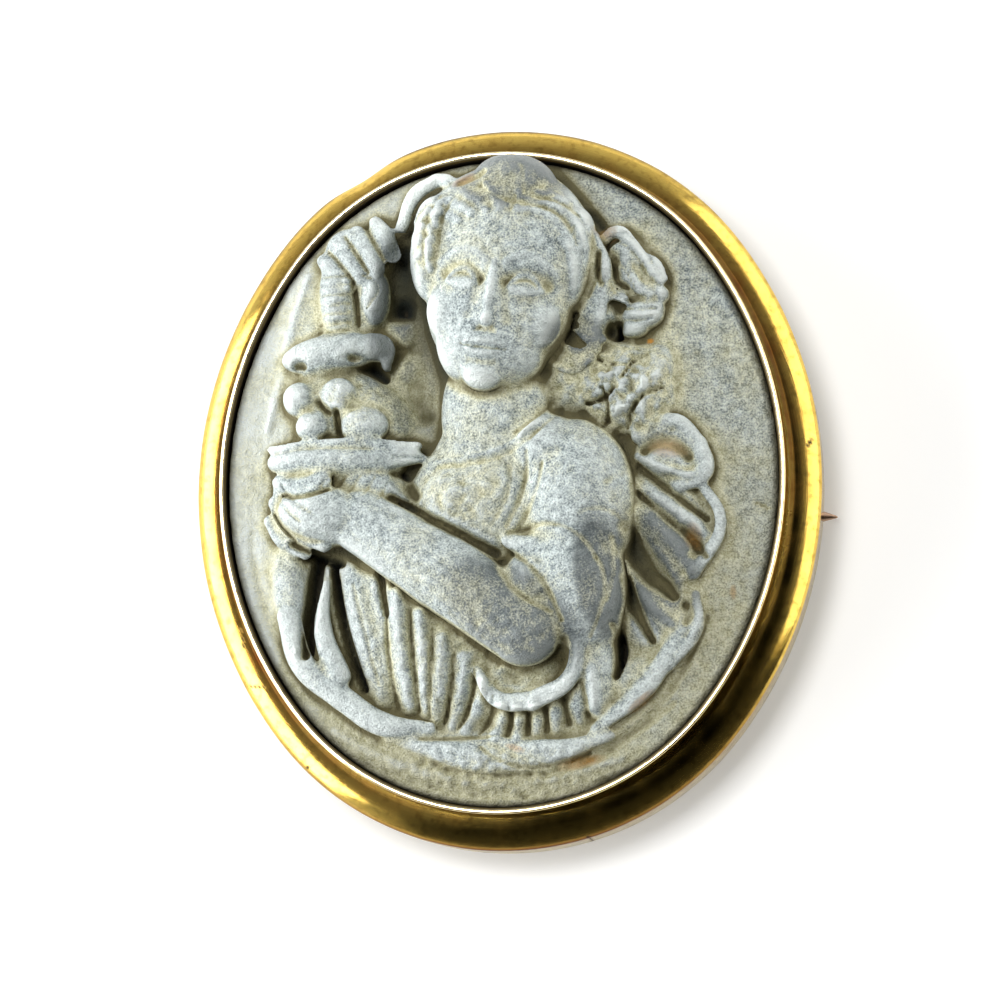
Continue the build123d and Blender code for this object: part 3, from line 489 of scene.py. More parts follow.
STROKES = [
    ("drilled hole by the curls", (0.72, 0.76, 0.72), -2.6, ((7.2, 9.15), (7.3, 9.2), (7.4, 9.25))),
    ("gap beside the face, top", (0.6, 1.1, 1.2), -0.7, ((-6.2, 14.8), (-6.5, 13.4), (-6.4, 11.0))),
    ("gap beside the face, lower", (1.2, 1.4, 0.9), -0.6, ((-6.3, 11.0), (-5.9, 8.0), (-4.8, 4.2))),
    ("hole over the leaf", (0.4, 0.45, 0.35), -1.4, ((-12.75, 7.25), (-12.5, 7.3), (-12.3, 7.25))),
    ("gap under the leaf", (0.35, 0.6, 0.4), -1.2, ((-9.2, 7.7), (-8.2, 7.3), (-7.4, 6.6))),
    ("slit between the fruits", (0.28, 0.32, 0.28), -1.4, ((-10.15, 4.3), (-10.1, 3.7), (-9.95, 2.9))),
    ("gap between the fruits", (0.3, 0.35, 0.3), -0.8, ((-11.3, 5.0), (-10.95, 4.6), (-10.6, 4.3))),
    ("groove in the bowl's spout", (0.12, 0.16, 0.1), -0.3, ((-6.4, 1.3), (-5.5, 1.3), (-4.7, 1.25))),
    ("under the bowl's rim", (0.13, 0.15, 0.13), -0.14, ((-14.0, 1.75), (-10.2, 1.85), (-6.4, 1.7))),
    ("under the bowl", (0.2, 0.3, 0.2), -0.8, ((-13.5, -0.9), (-12.1, -1.2), (-10.5, -0.8))),
    ("rib under the bowl 1 to 5", (0.13, 0.16, 0.12), -0.24,
        ((-10.3, 0.20), (-10.65, -0.20), (-11.0, -0.70)),
        ((-9.4, 0.14), (-9.80, -0.32), (-10.2, -0.88)),
        ((-8.5, 0.08), (-8.90, -0.44), (-9.3, -1.06)),
        ((-7.6, 0.02), (-7.95, -0.56), (-8.3, -1.24)),
        ((-6.7, -0.04), (-7.00, -0.68), (-7.3, -1.42))),
    ("gap under the spout", (0.5, 0.7, 0.5), -0.9, ((-6.4, 0.3), (-5.8, -0.5), (-5.0, -1.2))),
    ("gap between fingers 1", (0.15, 0.2, 0.15), -0.6, ((-14.2, -2.0), (-13.6, -2.9), (-12.8, -3.7))),
    ("gap between fingers 2", (0.13, 0.16, 0.12), -0.3, ((-13.9, -0.9), (-13.2, -1.9), (-12.2, -2.8))),
    ("gap between fingers 3", (0.13, 0.17, 0.1), -0.3, ((-13.6, -0.2), (-12.6, -1.5), (-11.0, -2.6))),
    ("under the hand", (0.3, 0.35, 0.3), -0.9, ((-13.0, -3.9), (-11.6, -4.6), (-10.0, -5.1))),
    ("over the forearm 1", (0.4, 0.45, 0.4), -1.2, ((-6.6, -1.3), (-3.0, -3.3), (0.0, -4.9))),
    ("over the forearm 2", (0.22, 0.26, 0.2), -0.4, ((0.2, -5.6), (1.4, -7.5), (3.7, -8.9))),
    ("inside the sleeve", (0.22, 0.26, 0.22), -0.5, ((1.1, -5.0), (3.1, -6.9), (4.3, -9.4))),
    ("under the elbow", (0.4, 0.8, 0.5), -0.6, ((4.4, -10.5), (3.8, -12.4), (0.6, -12.7))),
    ("seam of the cuff", (0.18, 0.24, 0.2), -0.34, ((1.0, -3.8), (4.4, -3.6), (6.5, -5.6))),
    ("seam of the cuff, lower", (0.2, 0.24, 0.18), -0.34, ((6.5, -5.6), (7.0, -7.6), (6.0, -10.4))),
    ("crease of the sleeve 1", (0.2, 0.25, 0.2), -0.25, ((5.6, -2.9), (7.0, -2.6), (8.2, -3.3))),
    ("crease of the sleeve 2", (0.3, 0.35, 0.3), -0.22, ((7.2, -0.9), (8.1, 0.1), (8.2, 1.4))),
    ("crease of the sleeve 3", (0.2, 0.25, 0.2), -0.3, ((7.4, -4.2), (7.5, -6.2), (7.1, -8.2))),
    ("neckline", (0.2, 0.22, 0.2), 0.16, ((-3.7, 0.9), (0.0, 1.3), (2.6, 3.0))),
    ("under the neckline", (0.2, 0.22, 0.2), -0.16, ((-3.6, 0.5), (0.1, 0.85), (2.9, 2.5))),
    ("strap of the dress", (0.25, 0.3, 0.25), 0.35, ((3.5, 4.4), (3.0, 3.4), (1.8, 2.2))),
    ("beside the strap", (0.16, 0.2, 0.16), -0.3, ((3.1, 4.2), (2.5, 3.3), (1.4, 2.5))),
    ("over the strap", (0.16, 0.2, 0.16), -0.3, ((4.0, 4.3), (3.6, 3.3), (2.4, 1.9))),
    ("fold of the bodice 1", (0.18, 0.26, 0.18), -0.3, ((2.2, 1.2), (1.9, -1.0), (0.8, -3.4))),
    ("fold of the bodice 2", (0.18, 0.24, 0.18), -0.26, ((3.2, 0.4), (2.7, -1.6), (1.5, -3.5))),
    ("fold of the bodice 3", (0.18, 0.24, 0.18), -0.2, ((1.0, 0.4), (0.9, -1.4), (0.0, -3.2))),
    ("gap beside the left fold 1", (0.45, 0.6, 0.4), -2.0, ((-11.6, -4.9), (-12.0, -7.5), (-12.3, -10.9))),
    ("gap beside the left fold 2", (0.3, 0.45, 0.3), -1.4, ((-10.6, -5.2), (-9.9, -9.0), (-8.6, -13.0))),
    ("hollow of the upper scroll", (0.5, 0.7, 0.5), -1.0, ((9.2, 1.5), (10.6, 2.0), (11.9, 1.1))),
    ("ridge in the scroll", (0.35, 0.4, 0.3), 0.5, ((8.7, 1.2), (10.3, 0.3), (12.1, -0.1))),
    ("groove of the drapery 1", (0.25, 0.4, 0.25), -0.8, ((8.8, 0.6), (10.9, -1.2), (13.0, -2.8))),
    ("fold of the drapery 1", (0.5, 0.8, 0.45), 0.4, ((8.7, -0.4), (11.0, -2.3), (13.0, -3.7))),
    ("groove of the drapery 2", (0.25, 0.45, 0.3), -0.8, ((8.8, -1.2), (11.1, -3.2), (13.0, -5.2))),
    ("fold of the drapery 2", (0.5, 0.8, 0.5), 0.5, ((8.6, -2.3), (10.6, -4.0), (12.1, -6.0))),
    ("yellow hollow", (0.5, 0.6, 0.5), -0.6, ((11.8, -3.4), (12.3, -4.2), (12.2, -5.0))),
    ("deep gap of the drapery", (0.6, 1.1, 0.5), -1.5, ((8.2, -3.6), (9.4, -5.8), (10.9, -7.6))),
    ("second gap of the drapery", (0.35, 0.6, 0.3), -1.2, ((8.0, -6.6), (8.6, -8.4), (9.6, -10.4))),
    ("fold of the drapery 3", (0.4, 0.6, 0.4), 0.5, ((7.9, -5.6), (9.2, -7.8), (10.8, -9.4))),
    ("hollow of the lower loop", (0.35, 0.45, 0.35), -0.6, ((11.6, -8.2), (11.9, -8.7), (11.7, -9.3))),
    ("slit beside the sleeve", (0.3, 0.5, 0.3), -1.6, ((7.3, -9.6), (7.6, -10.9), (7.3, -12.6))),
    ("crack in the rock 1 to 2", (0.18, 0.26, 0.14), -0.8,
        ((5.6, 4.6), (7.2, 5.2), (8.5, 7.2)),
        ((8.2, 3.0), (8.9, 4.6), (10.4, 5.4))),
    ("crack in the rock 3", (0.16, 0.22, 0.14), -0.6, ((6.4, 7.3), (7.9, 6.9), (9.4, 7.6))),
    ("crack in the rock 4", (0.16, 0.22, 0.14), -0.7, ((6.6, 3.0), (7.0, 4.0), (6.7, 5.4))),
    ("ledge of the rock", (0.35, 0.5, 0.4), 0.45, ((6.6, 6.2), (8.2, 5.2), (9.2, 3.4))),
    ("groove beside the curls", (0.2, 0.25, 0.2), -0.7, ((6.6, 13.9), (6.5, 12.8), (6.7, 11.9))),
    ("dark gap in the curls", (0.2, 0.28, 0.2), -0.7, ((7.5, 13.2), (7.6, 12.3), (8.3, 11.8))),
    ("groove in the knot of curls", (0.13, 0.17, 0.13), -0.4, ((8.0, 10.5), (9.0, 10.3), (10.0, 10.4))),
    ("second groove in the knot", (0.13, 0.17, 0.13), -0.35, ((7.9, 9.8), (8.8, 9.65), (9.8, 9.8))),
    ("strand of the curls 1 to 3", (0.12, 0.17, 0.12), -0.3,
        ((7.4, 14.9), (8.7, 13.9), (9.4, 12.6)),
        ((7.8, 15.3), (9.0, 14.6), (9.8, 13.3)),
        ((6.9, 14.3), (7.8, 13.3), (8.8, 11.6))),
    ("strand of the curls 4 to 5", (0.12, 0.16, 0.12), -0.3,
        ((9.2, 13.1), (9.7, 12.3), (10.4, 11.9)),
        ((7.2, 12.2), (7.6, 11.3), (8.4, 10.9))),
    ("hollow by the crown", (0.4, 0.5, 0.4), -0.5, ((5.0, 16.9), (5.8, 16.6), (6.4, 16.0))),
    ("finger groove 1 to 3", (0.14, 0.2, 0.14), -0.5,
        ((-8.6, 16.4), (-7.9, 15.2), (-7.2, 13.9)),
        ((-9.8, 15.7), (-9.0, 14.5), (-8.2, 13.2)),
        ((-10.9, 14.8), (-10.0, 13.8), (-9.1, 12.6))),
    ("rib of the bunch 1 to 7", (0.13, 0.16, 0.13), -0.26,
        ((-11.4, 13.1), (-10.4, 12.95), (-9.4, 13.1)),
        ((-11.4, 12.5), (-10.4, 12.35), (-9.4, 12.5)),
        ((-11.4, 11.9), (-10.4, 11.75), (-9.4, 11.9)),
        ((-11.4, 11.3), (-10.4, 11.15), (-9.4, 11.3)),
        ((-11.4, 10.7), (-10.4, 10.55), (-9.4, 10.7)),
        ((-11.4, 10.1), (-10.4, 9.95), (-9.4, 10.1)),
        ((-11.4, 9.6), (-10.4, 9.45), (-9.4, 9.6))),
    ("gap beside the scroll", (0.2, 0.28, 0.2), -0.7, ((-9.2, 12.6), (-9.0, 11.4), (-8.9, 10.0))),
    ("turn of the scroll", (0.13, 0.18, 0.13), -0.35, ((-8.5, 13.0), (-7.5, 12.2), (-8.2, 10.9))),
    ("line on the ground", (0.3, 0.45, 0.3), 0.22, ((-12.3, 13.4), (-13.6, 8.8), (-14.9, 3.6))),
    ("chip in the edge", (0.1, 0.14, 0.1), -0.3, ((15.9, -1.7), (16.3, -1.9), (16.9, -2.2))),
]

# Strokes that stay under the arm, hem and bands that stand over them: the same columns.
UNDER_HEIGHT = 2.5
LOW_STROKES = [
    ("gap under the arm", (0.3, 0.35, 0.25), -1.2, ((-7.4, -5.2), (-7.3, -7.0), (-7.0, -8.5))),
    ("hole under the arm", (0.22, 0.25, 0.2), -1.0, ((-6.5, -6.2), (-6.5, -6.4), (-6.4, -6.7))),
    ("panel of the dress", (0.8, 1.1, 0.7), 0.5, ((-9.6, -5.4), (-8.9, -9.2), (-7.5, -13.8))),
    ("crease of the panel", (0.16, 0.22, 0.16), -0.22, ((-9.2, -6.5), (-8.4, -9.6), (-7.6, -12.8))),
    ("fold 1 to 2", (0.6, 0.75, 0.65), 0.7,
        ((-6.3, -7.2), (-6.1, -10.6), (-5.7, -14.2)),
        ((-4.8, -8.6), (-4.6, -11.6), (-4.6, -14.6))),
    ("fold 3", (0.6, 0.7, 0.6), 0.65, ((-3.4, -10.2), (-3.6, -12.8), (-4.0, -15.0))),
    ("fold 4", (0.6, 0.65, 0.6), 0.6, ((-2.0, -11.4), (-2.3, -13.4), (-3.0, -15.4))),
    ("fold 5", (0.5, 0.6, 0.5), 0.55, ((-0.9, -12.8), (-1.4, -14.4), (-2.2, -15.7))),
    ("fold 6 to 11", (0.45, 0.55, 0.5), 0.5,
        ((0.3, -14.6), (0.1, -15.4), (-0.3, -16.1)),
        ((1.3, -14.8), (1.2, -15.5), (1.1, -16.2)),
        ((2.4, -14.7), (2.4, -15.3), (2.3, -15.9)),
        ((3.5, -14.3), (3.5, -15.1), (3.5, -15.8)),
        ((4.7, -13.6), (4.9, -14.5), (5.0, -15.3)),
        ((5.9, -12.2), (6.1, -13.6), (6.0, -14.8))),
    ("groove 1 to 11", (0.16, 0.24, 0.18), -0.4,
        ((-7.0, -8.6), (-6.9, -11.2), (-6.5, -14.3)),
        ((-5.5, -8.4), (-5.3, -11.2), (-5.1, -14.5)),
        ((-4.1, -9.6), (-4.2, -12.2), (-4.4, -14.9)),
        ((-2.7, -10.9), (-3.0, -13.0), (-3.5, -15.2)),
        ((-1.4, -12.2), (-1.8, -14.0), (-2.6, -15.6)),
        ((-0.2, -13.9), (-0.6, -15.0), (-1.3, -16.0)),
        ((0.8, -14.7), (0.7, -15.4), (0.4, -16.2)),
        ((1.85, -14.8), (1.8, -15.4), (1.7, -16.1)),
        ((2.95, -14.6), (2.95, -15.2), (2.9, -15.9)),
        ((4.1, -14.1), (4.2, -14.8), (4.3, -15.5)),
        ((5.3, -13.0), (5.5, -14.2), (5.6, -15.0))),
    ("outer groove", (0.3, 0.4, 0.3), -0.25, ((0.0, -18.5), (5.0, -18.0), (10.8, -14.3))),
    ("ripple at the foot 1", (0.35, 0.5, 0.35), 0.25, ((-10.6, -15.6), (-2.0, -18.9), (7.6, -17.7))),
    ("ripple at the foot 2", (0.25, 0.35, 0.25), -0.2, ((-8.6, -17.6), (-0.6, -19.9), (7.6, -18.6))),
    ("over the lowest band", (0.15, 0.2, 0.15), -0.35, ((-5.0, -16.3), (-2.6, -16.3), (-0.2, -16.2))),
    ("between the bands", (0.15, 0.2, 0.15), -0.35, ((-1.2, -16.9), (1.8, -18.2), (5.6, -17.3))),
    ("under the swag", (0.25, 0.35, 0.25), -0.25, ((7.0, -16.6), (10.4, -13.9), (13.0, -8.9))),
    ("ripple of the ground 1", (0.5, 0.7, 0.5), 0.07, ((15.2, 4.0), (15.4, -2.0), (14.4, -8.0))),
    ("ripple of the ground 2", (0.3, 0.4, 0.3), -0.12, ((-15.9, -3.0), (-14.6, -9.0), (-11.0, -14.4))),
]

# Rough places, which the dirt clings to: name, centre x, y, half width, half length, turn
# in degrees, depth of the roughness in mm, and its grain in mm.
ROUGH_PLACES = [
    ("front of the bodice", -2.0, -1.6, 3.8, 3.4, -10, 0.24, 0.7),
    ("inside of the sleeve", 3.0, -12.2, 3.0, 1.8, -20, 0.12, 0.6),
    ("crook of the arm", 2.6, -6.8, 1.4, 1.8, -30, 0.16, 0.8),
    ("rock behind the shoulder", 8.0, 5.4, 3.8, 3.6, 0, 0.8, 0.9),
    ("top of the shoulder", 4.4, 0.8, 3.6, 3.4, 0, 0.09, 0.6),
    ("hair behind the neck", 4.6, 6.0, 2.4, 2.2, 0, 0.3, 0.9),
    ("curls", 8.4, 12.0, 2.4, 3.4, 10, 0.2, 0.7),
    ("hair on the crown", 1.6, 17.4, 5.0, 2.8, -9, 0.24, 0.9),
    ("left temple", -4.6, 14.6, 1.9, 3.6, -10, 0.26, 0.6),
    ("bunch beside the hair", -9.4, 11.8, 2.6, 3.4, 10, 0.12, 0.6),
    ("fruit", -9.6, 4.8, 4.6, 2.4, 0, 0.2, 0.6),
    ("skirt of the dress", -2.0, -11.6, 9.0, 4.6, 0, 0.17, 0.6),
    ("right drapery", 10.6, -3.6, 3.6, 7.0, 10, 0.14, 0.8),
    ("lower ground", 0.0, -18.8, 13.0, 2.6, 0, 0.22, 0.5),
    ("left ground", -15.2, -2.0, 3.0, 14.0, 8, 0.08, 0.8),
]

# Stains: name, strength, centre x, y, half width, half length and turn in degrees.
RUST_STAINS = [
    ("orange spot by the curls", 1.0, 9.5, 8.6, 0.26, 0.26, 0),
    ("rust under the bands", 0.55, 5.0, -17.9, 1.9, 0.5, 12),
    ("rust on the swag", 0.55, 8.9, -14.2, 1.3, 0.3, 40),
    ("rust on the band", 0.55, 1.0, -17.0, 0.8, 0.3, -20),
    ("yellow in the scroll", 0.55, 10.6, 1.6, 1.5, 0.8, -10),
    ("yellow in the drapery", 0.55, 12.2, -3.9, 0.7, 1.0, 0),
    ("yellow by the curls", 0.55, 6.9, 15.4, 0.9, 0.7, 0),
    ("brown by the crown", 0.55, -1.9, 18.6, 1.0, 0.5, 20),
    ("reddish spot on the ground", 0.55, 14.6, -7.4, 0.3, 0.6, 0),
]

# Places painted darker, the same columns without the strength: painted shade in the gaps and hollows and on
# sides turned from the light, and a darker crown.
PAINTED_SHADE_PLACES = [
    ("elbow", 1.4, -9.0, 5.6, 3.2, -35),
    ("side of the sleeve", 6.8, -6.8, 1.9, 4.6, 8),
    ("crown", 1.2, 18.4, 4.0, 2.4, 0),
    ("hollows of the drapery", 10.0, -5.8, 3.0, 4.6, 14),
    ("hair behind the jaw", 5.4, 8.0, 2.2, 2.2, 0),
    ("behind the fruit", -6.2, 8.0, 2.2, 5.4, 6),
    ("gap beside the face, top", -6.3, 12.4, 1.6, 4.2, 0),
    ("gap beside the face, lower", -5.4, 7.4, 1.5, 4.8, 14),
]


def oval_weight(x, y, centre_x, centre_y, half_x, half_y, turn):
    """1 in the middle of an oval place on the stone, falling smoothly to 0 at its edge."""
    c, s = math.cos(math.radians(turn)), math.sin(math.radians(turn))
    u = (c * (x - centre_x) + s * (y - centre_y)) / half_x
    v = (c * (y - centre_y) - s * (x - centre_x)) / half_y
    return np.clip(1 - u**2 - v**2, 0, 1)


def along_stroke(start, middle, end, share):
    """Value at a share of the way along the curve through three values."""
    return (
        start * (2 * share - 1) * (share - 1)
        + middle * 4 * share * (1 - share)
        + end * share * (2 * share - 1)
    )


STROKE_SPANS = 10
NO_CEILING = 99
FAR_AWAY = 9.0
CEILING_FADE = 0.3
FULL_FACING = 1.6


def engrave(corners, facing, line, widths, height, ceiling):
    """Raises or cuts the corners along one stroke, where they face up below a ceiling."""
    shares = np.linspace(0, 1, STROKE_SPANS + 1)
    line_x, line_y = [along_stroke(*[point[axis] for point in line], shares) for axis in (0, 1)]
    line_r = along_stroke(*widths, shares)
    reach = line_r.max()
    near = (corners[:, 0] > line_x.min() - reach) & (corners[:, 0] < line_x.max() + reach)
    near &= (corners[:, 1] > line_y.min() - reach) & (corners[:, 1] < line_y.max() + reach)
    near = np.flatnonzero(near & (facing > 0))
    x, y = corners[near, 0], corners[near, 1]
    nearest = np.full(len(near), FAR_AWAY)
    for span in range(STROKE_SPANS):
        step_x, step_y = line_x[span + 1] - line_x[span], line_y[span + 1] - line_y[span]
        share = ((x - line_x[span]) * step_x + (y - line_y[span]) * step_y) / (step_x**2 + step_y**2)
        share = np.clip(share, 0, 1)
        gap = np.hypot(x - line_x[span] - share * step_x, y - line_y[span] - share * step_y)
        nearest = np.minimum(nearest, gap / (line_r[span] + share * (line_r[span + 1] - line_r[span])))
    profile = np.clip(1 - nearest**2, 0, 1) ** 1.5
    under = np.clip((ceiling - corners[near, 2]) / CEILING_FADE, 0, 1)
    corners[near, 2] += height * profile * under * np.clip(facing[near] * FULL_FACING, 0, 1)


def vertex_numbers(name, width):
    """Values of every vertex of the stone as rows of an array."""
    values = np.empty(len(stone.data.vertices) * width)
    stone.data.vertices.foreach_get(name, values)
    return values.reshape(-1, width)


corners = vertex_numbers("co", 3) / MM
corners[:, 2] -= STONE_EDGE / MM
facing = vertex_numbers("normal", 3)[:, 2]
for name, widths, height, *drawn in HEAD_PAIRS:
    for line, side in [(line, side) for line in drawn for side in (-1, 1)]:
        line = [on_head(side * across, along) for across, along in line]
        engrave(corners, facing, line, widths, height, NO_CEILING)
for name, widths, height, *drawn in HEAD_STROKES:
    for line in drawn:
        engrave(corners, facing, [on_head(*point) for point in line], widths, height, NO_CEILING)
for table, ceiling in ((STROKES, NO_CEILING), (LOW_STROKES, UNDER_HEIGHT)):
    for name, widths, height, *drawn in table:
        for line in drawn:
            engrave(corners, facing, line, widths, height, ceiling)

# The ground stands close under the lip. Its lift fades to nothing at the tallest carving.
LIFT_FROM, LIFT_RANGE = -1.8, 0.9
height_share = np.clip(1 - corners[:, 2] * MM / TALLEST, 0, 1)
lifted = np.clip((corners[:, 2] - LIFT_FROM) / LIFT_RANGE, 0, 1)
corners[:, 2] += GROUND_LIFT / MM * lifted * height_share

# No form reaches past the edge of the stone.
reach = np.hypot(corners[:, 0], corners[:, 1]) * MM
corners[:, :2] *= np.minimum(1, edge_distance(corners[:, 0] * MM, corners[:, 1] * MM) / reach)[:, None]

# The dome of the ground, the rounding of its edge, and the roughness.
RIM_WIDTH, LOWEST_CUT, ROUNDED_FROM = 0.8 * MM, -2.9, -0.2
PLAIN_ROUGHNESS, PLAIN_GRAIN = 0.055, 0.6
FALL_OFF, GAP_RATIO, OCTAVES = 0.7, 2.1, 3
x, y = corners[:, 0] * MM, corners[:, 1] * MM
inset = edge_distance(x, y) - np.hypot(x, y)
share_out = np.hypot(corners[:, 0] / HALF_WIDTH, corners[:, 1] / HALF_LENGTH) * MM
cut_deep = (inset > RIM_WIDTH) & (corners[:, 2] < -DEEPEST_HOLE / MM) & (corners[:, 2] > LOWEST_CUT)
corners[cut_deep, 2] = -DEEPEST_HOLE / MM
top = np.clip(facing * 3, 0, 1) * (corners[:, 2] > -DEEPEST_HOLE / MM)
corners[:, 2] += top * GROUND_DOME / MM * np.clip(1 - share_out**4, 0, 1)
rounding = np.clip(1 - inset / EDGE_ROUNDING, 0, 1)
fallen = EDGE_ROUNDING / MM * (1 - np.sqrt(np.clip(1 - rounding**2, 0, 1)))
corners[:, 2] -= (corners[:, 2] > ROUNDED_FROM) * fallen
roughness = np.full(len(corners), PLAIN_ROUGHNESS)
grain = np.full(len(corners), PLAIN_GRAIN)
for name, centre_x, centre_y, half_x, half_y, turn, depth, grain_size in ROUGH_PLACES:
    weight = oval_weight(corners[:, 0], corners[:, 1], centre_x, centre_y, half_x, half_y, turn)
    stronger = weight * depth > roughness
    roughness[stronger] = (weight * depth)[stronger]
    grain[stronger] = grain_size
lumps = np.array(
    [
        noise.fractal(Vector(corner) / size, FALL_OFF, GAP_RATIO, OCTAVES, noise_basis="PERLIN_ORIGINAL")
        for corner, size in zip(corners, grain)
    ]
)
corners[:, 2] += top * roughness * lumps

# How far each place lies under its surroundings, near and wide, on a grid over the stone.
CELL = 0.2
CELLS_ACROSS, CELLS_ALONG = 184, 214
column = np.clip(((corners[:, 0] / CELL) + CELLS_ACROSS / 2).astype(int), 0, CELLS_ACROSS - 1)
row = np.clip(((corners[:, 1] / CELL) + CELLS_ALONG / 2).astype(int), 0, CELLS_ALONG - 1)
heights = np.full((CELLS_ACROSS, CELLS_ALONG), GROUND_LIFT / MM)
np.maximum.at(heights, (column, row), corners[:, 2])


def blurred(grid, spread):
    """The grid blurred by a spread in mm."""
    steps = np.arange(-int(3 * spread / CELL), int(3 * spread / CELL) + 1)
    weights = np.exp(-0.5 * (steps * CELL / spread) ** 2)
    weights /= weights.sum()
    for axis in (0, 1):
        pads = [(len(steps) // 2,) * 2 if side == axis else (0, 0) for side in (0, 1)]
        wide = np.pad(grid, pads, mode="edge")
        grid = np.apply_along_axis(np.convolve, axis, wide, weights, mode="valid")
    return grid


def sampled(grid):
    """Values of a grid at the stone's corners, blended between its cells."""
    u = np.clip(corners[:, 0] / CELL + CELLS_ACROSS / 2 - 0.5, 0, CELLS_ACROSS - 1.001)
    v = np.clip(corners[:, 1] / CELL + CELLS_ALONG / 2 - 0.5, 0, CELLS_ALONG - 1.001)
    i, j = u.astype(int), v.astype(int)
    a, b = u - i, v - j
    low = grid[i, j] * (1 - a) + grid[i + 1, j] * a
    high = grid[i, j + 1] * (1 - a) + grid[i + 1, j + 1] * a
    return low * (1 - b) + high * b


# What the dirt and the painted light and shade follow: hollows at three spreads in mm, rough
# places, the rim, and the ground, which is soiled towards the lower right and painted lighter at the left as
# painted light.
SPREADS = 0.34, 0.9, 2.0
FULL_ROUGHNESS = 0.14
DIRTY_AND_SHADED_RIM = 0.9 * MM
near_hollow, middle_hollow, wide_hollow = [
    sampled(blurred(heights, spread)) - corners[:, 2] for spread in SPREADS
]
rough = np.clip(roughness / FULL_ROUGHNESS, 0, 1.5)
rust = np.zeros(len(corners))
for name, strength, *place in RUST_STAINS:
    rust = np.maximum(rust, strength * oval_weight(corners[:, 0], corners[:, 1], *place) ** 0.5)
# The rim under the collar and the deep cut holes: dirt and painted shade.
rim = np.maximum(np.clip(1 - inset / DIRTY_AND_SHADED_RIM, 0, 1), cut_deep)
on_ground = np.clip((1.0 + GROUND_LIFT / MM - corners[:, 2]) / 0.5, 0, 1)
soiled = on_ground * np.clip(0.35 + (0.45 * corners[:, 0] - 0.9 * corners[:, 1]) / 20, 0.15, 1)
# Painted light: the ground is painted lighter towards the left.
bleached = on_ground * np.clip(0.1 - corners[:, 0] / 15, 0, 0.9)
# Painted shade: the listed places are painted darker.
dark = np.zeros(len(corners))
for name, *place in PAINTED_SHADE_PLACES:
    dark = np.maximum(dark, oval_weight(corners[:, 0], corners[:, 1], *place))


def store(piece, **measures):
    """Keeps measures of every corner with a piece, for its material to read."""
    for name, values in measures.items():
        attribute = piece.data.attributes.new(name, "FLOAT", "POINT")
        attribute.data.foreach_set("value", values.astype(np.float32))


store(
    stone,
    near_hollow=near_hollow,
    middle_hollow=middle_hollow,
    wide_hollow=wide_hollow,
    rough=rough,
    rust=rust,
    rim=rim,
    soiled=soiled,
    bleached=bleached,
    dark=np.clip(dark * 2, 0, 1),
)
corners[:, 2] += STONE_EDGE / MM
stone.data.vertices.foreach_set("co", (corners * MM).ravel())
stone.data.update()

# The plain back and side: the carved skin is cut off below its edge, and drawn down
# to the flat back, along the oval.
SKIN_EDGE = STONE_EDGE - 0.5 * MM
SEAM = 0.01 * MM
RIM_REACH = 1.1
select_only(stone)
bpy.ops.object.mode_set(mode="EDIT")
bpy.ops.mesh.select_all(action="SELECT")
bpy.ops.mesh.bisect(plane_co=(0, 0, SKIN_EDGE), plane_no=(0, 0, 1), clear_inner=True)
bpy.ops.mesh.select_all(action="DESELECT")
bpy.ops.mesh.select_non_manifold()
bpy.ops.mesh.extrude_edges_move(TRANSFORM_OT_translate={"value": (0, 0, stone_low.z - SKIN_EDGE)})
bpy.ops.mesh.edge_face_add()
bpy.ops.object.mode_set(mode="OBJECT")
for vertex in stone.data.vertices:
    if vertex.co.z < SKIN_EDGE + SEAM:
        x, y = vertex.co.x, vertex.co.y
        reach = edge_distance(x, y) / math.hypot(x, y)
        if reach < RIM_REACH:
            vertex.co.x, vertex.co.y = x * reach, y * reach
finish_with(stone, "SMOOTH", factor=0.5, iterations=1)

# Fine-grained lava stone is a soft blue-grey with a dull shine where it is rubbed. Pale
# crystals speckle it, and old dirt fills its hollows with cream, olive and rust.
stone_material, stone_shader = new_material("carved_lava_stone")
tree = stone_material.node_tree
where = add_node(tree, "ShaderNodeTexCoord").outputs["Object"]
near_hollow, middle_hollow, wide_hollow, roughened, rusted, rim_dirt_and_shade, soiled, bleached, painted_darkening = [
    add_node(tree, "ShaderNodeAttribute", attribute_name=name).outputs["Fac"]
    for name in ("near_hollow", "middle_hollow", "wide_hollow")
    + ("rough", "rust", "rim", "soiled", "bleached", "dark")
]
MOTTLE_SIZE, SPECKLE_SIZE, PATCH_SIZE = 0.5 * MM, 0.12 * MM, 3.0 * MM
mottle, speckle, patches = [
    add_node(tree, "ShaderNodeTexNoise", [("Vector", where), ("Scale", 1 / size), ("Detail", detail)]).outputs[0]
    for size, detail in ((MOTTLE_SIZE, 3), (SPECKLE_SIZE, 4), (PATCH_SIZE, 4))
]
grain = add_node(
    tree, "ShaderNodeMath", [(0, speckle), (1, 1.6), (2, mottle)], operation="MULTIPLY_ADD"
).outputs[0]
rust_grain = add_node(tree, "ShaderNodeMath", [(0, rusted), (1, grain)], operation="MULTIPLY").outputs[0]
